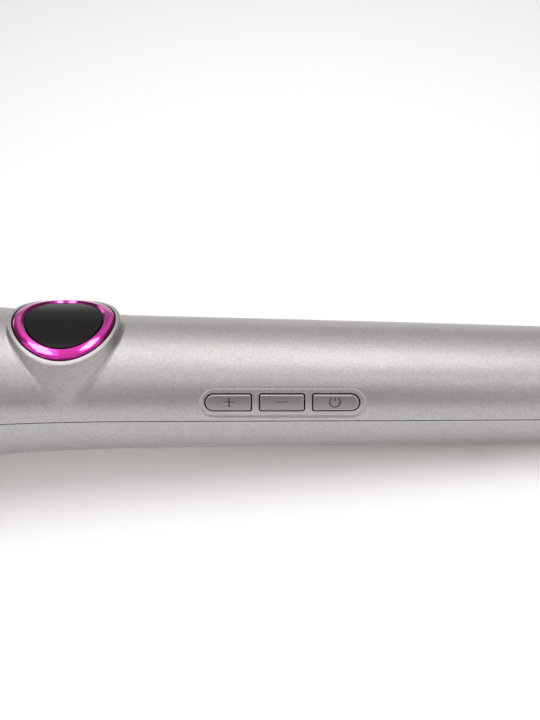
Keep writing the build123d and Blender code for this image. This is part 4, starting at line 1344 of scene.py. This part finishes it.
# ============================================================================
# Materials
# ============================================================================
class Mat:
    def __init__(self, name):
        self.m = bpy.data.materials.new(name)
        self.m.use_nodes = True
        self.t = self.m.node_tree
        self.b = self.t.nodes["Principled BSDF"]
        self.coord = self.t.nodes.new("ShaderNodeTexCoord").outputs["Object"]

    def new(self, kind, **inputs):
        n = self.t.nodes.new("ShaderNode" + kind)
        for k, v in inputs.items():
            key = k.replace("_", " ")
            if key in n.inputs:
                n.inputs[key].default_value = v
            else:
                setattr(n, k, v)
        return n

    def link(self, a, b):
        self.t.links.new(a, b)

    def set(self, **kw):
        for k, v in kw.items():
            self.b.inputs[k.replace("_", " ")].default_value = v

    def noise(self, scale, detail=2.0, rough=0.55, coord=None, stretch=None):
        c = coord or self.coord
        if stretch:
            mp = self.new("Mapping")
            mp.inputs["Scale"].default_value = stretch
            self.link(c, mp.inputs["Vector"])
            c = mp.outputs["Vector"]
        n = self.new("TexNoise", Scale=scale, Detail=detail, Roughness=rough)
        self.link(c, n.inputs["Vector"])
        return n.outputs["Fac"]

    def voronoi(self, scale, feature="F1", coord=None):
        n = self.new("TexVoronoi", Scale=scale)
        n.feature = feature
        self.link(coord or self.coord, n.inputs["Vector"])
        return n

    def remap(self, value, a, b, lo, hi):
        n = self.new("MapRange")
        for k, v in zip(("From Min", "From Max", "To Min", "To Max"), (a, b, lo, hi)):
            n.inputs[k].default_value = v
        self.link(value, n.inputs["Value"])
        return n.outputs["Result"]

    def math(self, op, a, b=None):
        n = self.new("Math")
        n.operation = op
        for i, v in enumerate((a, b)):
            if v is None:
                continue
            if isinstance(v, (int, float)):
                n.inputs[i].default_value = v
            else:
                self.link(v, n.inputs[i])
        return n.outputs[0]

    def mix(self, fac, a, b):
        n = self.t.nodes.new("ShaderNodeMix")
        n.data_type = "RGBA"
        for s, v in ((n.inputs[0], fac), (n.inputs[6], a), (n.inputs[7], b)):
            if isinstance(v, (int, float)):
                s.default_value = v
            elif isinstance(v, tuple):
                s.default_value = (*v, 1.0) if len(v) == 3 else v
            else:
                self.link(v, s)
        return n.outputs[2]

    def bump(self, height, distance, strength=1.0, normal=None):
        n = self.new("Bump", Distance=distance, Strength=strength)
        self.link(height, n.inputs["Height"])
        if normal is not None:
            self.link(normal, n.inputs["Normal"])
        return n.outputs["Normal"]

    def out(self, color=None, rough=None, normal=None, metallic=None, coat_normal=None):
        for key, v in (("Base Color", color), ("Roughness", rough), ("Normal", normal), ("Metallic", metallic), ("Coat Normal", coat_normal)):
            if v is None:
                continue
            if isinstance(v, tuple):
                self.b.inputs[key].default_value = (*v, 1.0)
            elif isinstance(v, (int, float)):
                self.b.inputs[key].default_value = v
            else:
                self.link(v, self.b.inputs[key])
        return self.m


def scaled(c, k):
    return tuple(min(1.0, x * k) for x in c)


def metal_paint(name, base, rough, metallic, flake):
    """satin paint: fine aluminium flakes of uneven brightness and tilt under a thin lacquer"""
    m = Mat(name)
    cells = m.voronoi(3600.0)
    tone = m.new("SeparateColor")
    m.link(cells.outputs["Color"], tone.inputs[0])
    fine = m.noise(5200.0, 2.0, 0.6)
    cloud = m.noise(60.0, 3.0, 0.5)
    mottled = m.noise(900.0, 2.0, 0.5)
    v = m.math("ADD", m.math("MULTIPLY", tone.outputs[0], 0.45), m.math("MULTIPLY", fine, 0.55))
    v = m.math("ADD", v, m.math("MULTIPLY", m.math("SUBTRACT", mottled, 0.5), 0.35))
    color = m.mix(m.remap(v, 0.25, 0.75, 0.0, 1.0), scaled(base, 1 - flake), scaled(base, 1 + flake))
    color = m.mix(m.remap(cloud, 0.35, 0.65, 0.0, 0.10), color, scaled(base, 0.90))
    r = m.remap(m.math("ADD", m.math("MULTIPLY", tone.outputs[1], 0.5), m.math("MULTIPLY", cloud, 0.5)), 0.2, 0.8, rough - 0.035, rough + 0.035)
    normal = m.bump(v, 1.6e-5, 0.35)
    normal = m.bump(mottled, 1.2e-5, 0.10, normal)
    m.set(Coat_Weight=0.12, Coat_Roughness=0.25, Coat_IOR=1.45)
    return m.out(color, r, normal, metallic)


def moulded(name, base, rough, grain=2300.0, depth=2.0e-5, strength=0.45, dust=0.0, spec=0.5):
    """injection moulded plastic with a spark-eroded texture, slightly uneven in colour and gloss"""
    m = Mat(name)
    a = m.noise(grain, 3.0, 0.6)
    b = m.voronoi(grain * 0.8, "SMOOTH_F1").outputs["Distance"]
    cloud = m.noise(45.0, 4.0, 0.55)
    h = m.math("ADD", m.math("MULTIPLY", a, 0.7), m.math("MULTIPLY", b, 0.5))
    color = m.mix(m.remap(a, 0.35, 0.7, 0.0, 1.0), scaled(base, 0.78), scaled(base, 1.25))
    color = m.mix(m.remap(cloud, 0.45, 0.75, 0.0, 0.25 + dust), color, scaled(base, 1.5))
    r = m.remap(m.math("ADD", m.math("MULTIPLY", cloud, 0.6), m.math("MULTIPLY", a, 0.4)), 0.3, 0.7, rough - 0.07, rough + 0.06)
    m.set(Specular_IOR_Level=spec)
    return m.out(color, r, m.bump(h, depth, strength), 0.0)


def make_materials():
    out = {}
    out["silver_paint"] = metal_paint("silver_paint", PAINT, PAINT_ROUGH, 0.90, 0.13)
    out["key_silver"] = metal_paint("key_silver", KEY_PAINT, 0.34, 0.90, 0.10)

    m = Mat("magenta_chrome")
    smear = m.noise(90.0, 4.0, 0.6)
    fine = m.noise(2600.0, 2.0, 0.5)
    color = m.mix(m.remap(smear, 0.3, 0.7, 0.0, 1.0), scaled(RING, 0.96), scaled(RING, 1.04))
    rough = m.remap(m.math("ADD", m.math("MULTIPLY", smear, 0.7), m.math("MULTIPLY", fine, 0.3)), 0.3, 0.7, 0.08, 0.11)
    m.set(Coat_Weight=1.0, Coat_IOR=1.4, Coat_Roughness=0.03)
    out["magenta_chrome"] = m.out(color, rough, m.bump(fine, 1.0e-7, 0.02), 1.0)

    m = Mat("black_gloss")
    smear = m.noise(110.0, 4.0, 0.6)
    fine = m.noise(3000.0, 2.0, 0.5)
    color = m.mix(m.remap(smear, 0.35, 0.65, 0.0, 1.0), (0.0022, 0.0020, 0.0021), (0.0034, 0.0031, 0.0032))
    rough = m.remap(smear, 0.3, 0.7, 0.035, 0.075)
    m.set(IOR=1.27)
    out["black_gloss"] = m.out(color, rough, m.bump(fine, 6.0e-7, 0.12), 0.0)

    out["heat_plastic"] = moulded("heat_plastic", (0.020, 0.020, 0.021), 0.52)
    out["gland_plastic"] = moulded("gland_plastic", (0.019, 0.019, 0.020), 0.44, 2600.0, 1.4e-5, 0.35)
    # dark purple that paints the shade on the display ring's outer wall and shoulder, in the gap round the ring
    out["ring_gap_shade"] = moulded("ring_gap_shade", (0.020, 0.002, 0.012), 0.45)
    out["raw_plastic"] = moulded("raw_plastic", (0.030, 0.029, 0.030), 0.55)
    out["black_plastic"] = moulded("black_plastic", (0.022, 0.022, 0.023), 0.48)
    out["silicone"] = moulded("silicone", (0.026, 0.026, 0.027), 0.74, 1500.0, 1.5e-5, 0.30, 0.25, 0.35)
    out["white_plastic"] = moulded("white_plastic", (0.70, 0.69, 0.65), 0.42, 2600.0, 1.0e-5, 0.25)
    out["silicone_wire"] = moulded("silicone_wire", (0.50, 0.49, 0.46), 0.55, 1800.0, 1.0e-5, 0.25, 0.1)
    out["heater_ceramic"] = moulded("heater_ceramic", (0.66, 0.62, 0.56), 0.62, 3200.0, 1.2e-5, 0.4)

    m = Mat("ceramic_coat")
    cells = m.voronoi(3000.0)
    tone = m.new("SeparateColor")
    m.link(cells.outputs["Color"], tone.inputs[0])
    grit = m.noise(4200.0, 3.0, 0.6)
    cloud = m.noise(30.0, 4.0, 0.55)
    spark = m.remap(tone.outputs[0], 0.86, 0.97, 0.0, 1.0)
    color = m.mix(m.remap(cloud, 0.35, 0.65, 0.0, 1.0), (0.030, 0.027, 0.030), (0.046, 0.041, 0.045))
    color = m.mix(m.math("MULTIPLY", spark, 0.55), color, (0.30, 0.26, 0.28))
    rough = m.remap(m.math("ADD", m.math("MULTIPLY", grit, 0.5), m.math("MULTIPLY", cloud, 0.5)), 0.3, 0.7, 0.26, 0.38)
    m.set(Coat_Weight=0.25, Coat_Roughness=0.12, Coat_IOR=1.5)
    out["ceramic_coat"] = m.out(color, rough, m.bump(grit, 1.2e-5, 0.22), 0.55)

    m = Mat("steel_screw")
    turnings = m.noise(900.0, 3.0, 0.6, stretch=(6.0, 1.0, 1.0))
    cloud = m.noise(220.0, 3.0, 0.5)
    color = m.mix(m.remap(cloud, 0.3, 0.7, 0.0, 1.0), (0.50, 0.50, 0.51), (0.64, 0.63, 0.61))
    out["steel_screw"] = m.out(color, m.remap(turnings, 0.3, 0.7, 0.22, 0.36), m.bump(turnings, 6e-6, 0.2), 1.0)

    m = Mat("aluminium")
    lines = m.noise(700.0, 4.0, 0.6, stretch=(0.05, 1.0, 1.0))
    color = m.mix(m.remap(lines, 0.3, 0.7, 0.0, 1.0), (0.70, 0.70, 0.72), (0.84, 0.84, 0.86))
    out["aluminium"] = m.out(color, m.remap(lines, 0.3, 0.7, 0.28, 0.42), m.bump(lines, 6e-6, 0.3), 1.0)

    m = Mat("brass_metal")
    lines = m.noise(1200.0, 3.0, 0.6)
    color = m.mix(m.remap(lines, 0.3, 0.7, 0.0, 1.0), (0.66, 0.45, 0.16), (0.80, 0.60, 0.28))
    out["brass_metal"] = m.out(color, m.remap(lines, 0.3, 0.7, 0.18, 0.32), m.bump(lines, 4e-6, 0.2), 1.0)

    m = Mat("display_glass")
    smear = m.noise(200.0, 3.0, 0.5)
    color = m.mix(m.remap(smear, 0.3, 0.7, 0.0, 1.0), (0.020, 0.024, 0.026), (0.030, 0.034, 0.036))
    m.set(Coat_Weight=0.6, Coat_Roughness=0.03)
    out["display_glass"] = m.out(color, m.remap(smear, 0.3, 0.7, 0.06, 0.12), None, 0.0)

    m = Mat("polyimide")
    tracks = m.new("TexWave", Scale=260.0, Distortion=0.0)
    tracks.bands_direction = "Y"
    m.link(m.coord, tracks.inputs["Vector"])
    line = m.remap(tracks.outputs["Fac"], 0.45, 0.6, 0.0, 1.0)
    cloud = m.noise(300.0, 3.0, 0.5)
    color = m.mix(line, (0.50, 0.21, 0.035), (0.62, 0.33, 0.10))
    color = m.mix(m.remap(cloud, 0.4, 0.7, 0.0, 0.2), color, (0.40, 0.16, 0.03))
    out["polyimide"] = m.out(color, m.remap(cloud, 0.3, 0.7, 0.22, 0.34), m.bump(line, 2e-5, 0.4), 0.0)

    m = Mat("circuit_board")
    tracks = m.new("TexBrick", Scale=190.0)
    tracks.inputs["Mortar Size"].default_value = 0.06
    m.link(m.coord, tracks.inputs["Vector"])
    weave = m.noise(1400.0, 2.0, 0.5)
    color = m.mix(m.remap(weave, 0.3, 0.7, 0.0, 1.0), (0.012, 0.085, 0.035), (0.020, 0.120, 0.050))
    color = m.mix(tracks.outputs["Fac"], color, (0.040, 0.190, 0.075))
    out["circuit_board"] = m.out(color, m.remap(weave, 0.3, 0.7, 0.25, 0.38), m.bump(tracks.outputs["Fac"], 3e-5, 0.4), 0.0)
    return out


PAINT, PAINT_ROUGH = (0.448, 0.437, 0.437), 0.36
KEY_PAINT = (0.345, 0.335, 0.335)
RING = (0.41, 0.0055, 0.235)
ROOM = 0.24
MID = [(24, 0.0), (42, 0.62), (52, 0.95), (62, 1.10), (75, 1.22), (88, 1.32), (101, 1.50), (114, 0.0)]      # degrees from the front over the top, level
BACK = [(98, 0.0), (110, 0.95), (124, 0.75), (140, 0.50), (158, 0.45), (176, 0.90)]
MATS = make_materials()

# CAD nodes keep their own meshes and take these materials; those with a finer copy aren't shown
SLOTS = {p["node"]: p["material_slot"] for p in frame["record"]["subparts"]}
for node, obj in NODES.items():
    for s in obj.material_slots:
        s.material = MATS[SLOTS[node]]

# ============================================================================
# The pieces
# ============================================================================
paint = MATS["silver_paint"]
col = Collector()
lug_out, lug_in = lug_patch(col)
dish_out, key_holes = recess_patch(col)
posts = [inner_boss(col, x, y, 3.0, 1.3, SEAM_Z - x * math.tan(SEAM_TILT) + SEAM, 9.0, True) for x, y in ((57.0, 8.5), (57.0, -8.5), (-81.0, 12.0), (-81.0, -12.0))]
half_shell("shell_upper", True, [lug_out, dish_out], [lug_in] + key_holes + posts, col, [])
finish_mesh("shell_upper", col, "root", ["upper_shell"], (paint, MATS["raw_plastic"]))

col = Collector()
outs, ins = [], []
for x, y, seat in ((57.0, 8.5, -8.6), (57.0, -8.5, -8.6), (-81.0, 12.0, -11.6), (-81.0, -12.0, -11.6)):
    a, b = screw_hole(col, x, y, seat)
    outs.append(a)
    ins.append(b)
half_shell("shell_lower", False, outs, ins, col, [])
finish_mesh("shell_lower", col, "root", ["lower_shell"], (paint, MATS["raw_plastic"]))

make_bezel((MATS["magenta_chrome"], MATS["ring_gap_shade"]))
make_window(MATS["black_gloss"])
for name, body in (("plus_button", "plus_key"), ("minus_button", "minus_key"), ("power_button", "power_key")):
    make_button(name, body, (MATS["key_silver"], MATS["raw_plastic"]))
make_collar(MATS["heat_plastic"])
make_cone(MATS["ceramic_coat"])
make_tip(MATS["heat_plastic"])
make_gland(MATS["gland_plastic"])
bevelled("stand_leg", "stand_foot", 0.28, "stand", MATS["heat_plastic"])
bevelled("stand_sole", "stand_pad", 0.22, "stand", MATS["silicone"])
bevelled("hinge_pin", "stand_pin", 0.20, "root", MATS["steel_screw"])
bevelled("shell_screws", "case_screws", 0.10, "root", MATS["steel_screw"])
bevelled("end_screw", "tip_screw", 0.10, "root", MATS["steel_screw"])

# ============================================================================
# Floor, camera and light
# ============================================================================
floor_me = bpy.data.meshes.new("floor")
floor_me.from_pydata([(-4, -4, 0), (4, -4, 0), (4, 4, 0), (-4, 4, 0)], [], [(0, 1, 2, 3)])
floor = bpy.data.objects.new("floor", floor_me)
bpy.context.scene.collection.objects.link(floor)
TARGET = Vector((0.0993, 0.0, 0.03))
m = Mat("floor_white")
grain = m.noise(30.0, 3.0, 0.5)
# painted pool of light: the table's colour is pale in the middle, where the light is meant to fall, and darkens to grey
# further out
spot = m.new("Mapping")
spot.inputs["Location"].default_value = (-TARGET.x / 0.11, -0.03 / 0.17, 0.0)
spot.inputs["Scale"].default_value = (1 / 0.11, 1 / 0.17, 0.0)
m.link(m.coord, spot.inputs["Vector"])
reach = m.new("VectorMath")
reach.operation = "LENGTH"
m.link(spot.outputs["Vector"], reach.inputs[0])
fade = m.remap(reach.outputs["Value"], 1.0, 3.2, 0.0, 1.0)
pale = m.mix(grain, (0.925, 0.928, 0.932), (0.935, 0.938, 0.942))
floor_me.materials.append(m.out(m.mix(fade, pale, (0.54, 0.54, 0.54)), 0.75, None, 0.0))
# the floor also glows faintly in a warm colour: painted fill light that lifts the shadow under the handle
m.set(Specular_IOR_Level=0.15, Emission_Color=(1.0, 0.80, 0.75, 1.0), Emission_Strength=0.08)

EL, DIST, SCALE, AY, ROLL = math.radians(36.8), 500.0, 3.7, 382.4, math.radians(0.33)
fw = np.array([0, math.cos(EL), -math.sin(EL)])
up = np.array([0, math.sin(EL), math.cos(EL)])
rt = np.array([1.0, 0, 0])
eye = -fw * DIST + up * (AY - 360) / SCALE
cx = math.cos(ROLL) * rt + math.sin(ROLL) * up
cy = -math.sin(ROLL) * rt + math.cos(ROLL) * up
cz = -fw
rot = Matrix([[float(dir_row(v)[k]) for v in (cx, cy, cz)] for k in range(3)]).to_4x4()
cam_data = bpy.data.cameras.new("camera")
cam_data.lens, cam_data.sensor_width, cam_data.sensor_fit = DIST * SCALE / 540 * 36.0, 36.0, "HORIZONTAL"
cam_data.clip_start, cam_data.clip_end = 0.02, 20.0
cam = bpy.data.objects.new("camera", cam_data)
cam.matrix_world = Matrix.Translation(Vector([float(k) for k in to_row(eye)])) @ rot
bpy.context.scene.collection.objects.link(cam)
bpy.context.scene.camera = cam




def softbox(name, x, phi, width, height, level, color=(1, 1, 1), distance=1.0, only=(), aim=TARGET):
    """rectangular area light facing the handle: phi is its elevation from the front over the top, x its sideways lean, level its radiance,
    only the pieces that it shines on if it doesn't shine on all"""
    k = math.sqrt(1 - x * x)
    c = aim + distance * Vector((x, -math.cos(math.radians(phi)) * k, math.sin(math.radians(phi)) * k))
    d = bpy.data.lights.new(name, "AREA")
    d.shape, d.size, d.size_y = "RECTANGLE", width * distance, height * distance
    d.energy = level * math.pi * d.size * d.size_y
    d.color = color
    o = bpy.data.objects.new(name, d)
    z = (aim - c).normalized()
    ax = Vector((1, 0, 0))
    ax = (ax - z * ax.dot(z)).normalized()
    ay = (-z).cross(ax)
    o.matrix_world = Matrix.Translation(c) @ Matrix((ax, ay, -z)).transposed().to_4x4()
    bpy.context.scene.collection.objects.link(o)
    if only:
        lit = bpy.data.collections.new(name)
        for piece in only:
            lit.objects.link(bpy.data.objects[piece])
        o.light_linking.receiver_collection = lit
        o.visible_camera = False
    return o


WARM = (1.0, 0.95, 0.935)
for sx, word, high, side, far in ((-1, "left", 86, 1.4, 1.2), (1, "right", 80, 1.1, 1.0)):
    softbox("top_" + word, 0.30 * sx, 85, 0.36, 0.72, 0.45, distance=0.7)
    softbox("core_" + word, 0.235 * sx, high, 0.23, 0.58, 1.6, distance=0.68)
    softbox("front_" + word, 0.30 * sx, 42, 0.36, 0.34, 1.0, WARM)
    softbox("side_" + word, 0.64 * sx, 50, 0.36, 1.20, side, distance=0.7)
    softbox("far_" + word, 0.90 * sx, 36, 0.40, 0.26, far, WARM)
softbox("front_low", 0.34, 14, 0.30, 0.36, 0.55, WARM)
softbox("low_back", -0.64, 150, 0.36, 0.34, 1.6, WARM)
softbox("floor_wash", 0.0, 106, 0.90, 0.50, 1.25, (0.80, 0.97, 1.0), distance=2.4, only=("floor",))
softbox("ring_left", -0.29, 82, 0.22, 0.42, 15.0, distance=0.6, only=("display_ring",))
softbox("ring_right", 0.14, 90, 0.17, 0.40, 20.0, distance=0.6, only=("display_ring",))
softbox("ring_far_left", -0.32, 128, 0.26, 0.80, 0.55, distance=0.6, only=("display_ring",))
softbox("ring_far_right", 0.25, 133, 0.26, 0.80, 0.35, distance=0.6, only=("display_ring",))
softbox("fill_left", -0.12, 22, 0.30, 0.40, 0.85, distance=0.36, only=("shell_upper", "shell_lower"), aim=Vector((0.018, 0, 0.03)))


world = bpy.data.worlds.new("world")
world.use_nodes = True
wt = world.node_tree
wl = wt.links.new


def wmath(op, a, b=0.0):
    n = wt.nodes.new("ShaderNodeMath")
    n.operation = op
    for i, v in enumerate((a, b)):
        if isinstance(v, (int, float)):
            n.inputs[i].default_value = v
        else:
            wl(v, n.inputs[i])
    return n.outputs[0]


def wcurve(value, stops):
    """smooth curve through (position, level) stops, levels up to 2"""
    n = wt.nodes.new("ShaderNodeValToRGB")
    n.color_ramp.interpolation = "EASE"
    while len(n.color_ramp.elements) < len(stops):
        n.color_ramp.elements.new(0.5)
    for e, (at, level) in zip(n.color_ramp.elements, stops):
        e.position = at
        e.color = (level / 2, level / 2, level / 2, 1)
    wl(value, n.inputs["Fac"])
    return wmath("MULTIPLY", n.outputs["Color"], 2.0)


# the room: dim, with a soft strip of light overhead that is brightest a little behind the handle
axes = wt.nodes.new("ShaderNodeSeparateXYZ")
wl(wt.nodes.new("ShaderNodeTexCoord").outputs["Generated"], axes.inputs[0])
wx, wy, wz = axes.outputs
turn = wmath("DIVIDE", wmath("ARCTAN2", wmath("MAXIMUM", wz, 0.0), wmath("MULTIPLY", wy, -1.0)), math.pi)
lean = wmath("ABSOLUTE", wx)
strip = wcurve(turn, [(k / 180, v) for k, v in MID])
back = wcurve(turn, [(k / 180, v) for k, v in BACK])
level = wmath("ADD", wmath("MULTIPLY", strip, wcurve(lean, [(0.08, 1.0), (0.36, 0.0)])),
              wmath("MULTIPLY", back, wcurve(lean, [(0.25, 1.0), (0.52, 0.0)])))
bgn = wt.nodes["Background"]
bgn.inputs["Color"].default_value = (1.0, 0.955, 0.945, 1)
wl(wmath("ADD", level, ROOM), bgn.inputs["Strength"])
bpy.context.scene.world = world
bpy.context.scene.view_settings.view_transform = "Standard"
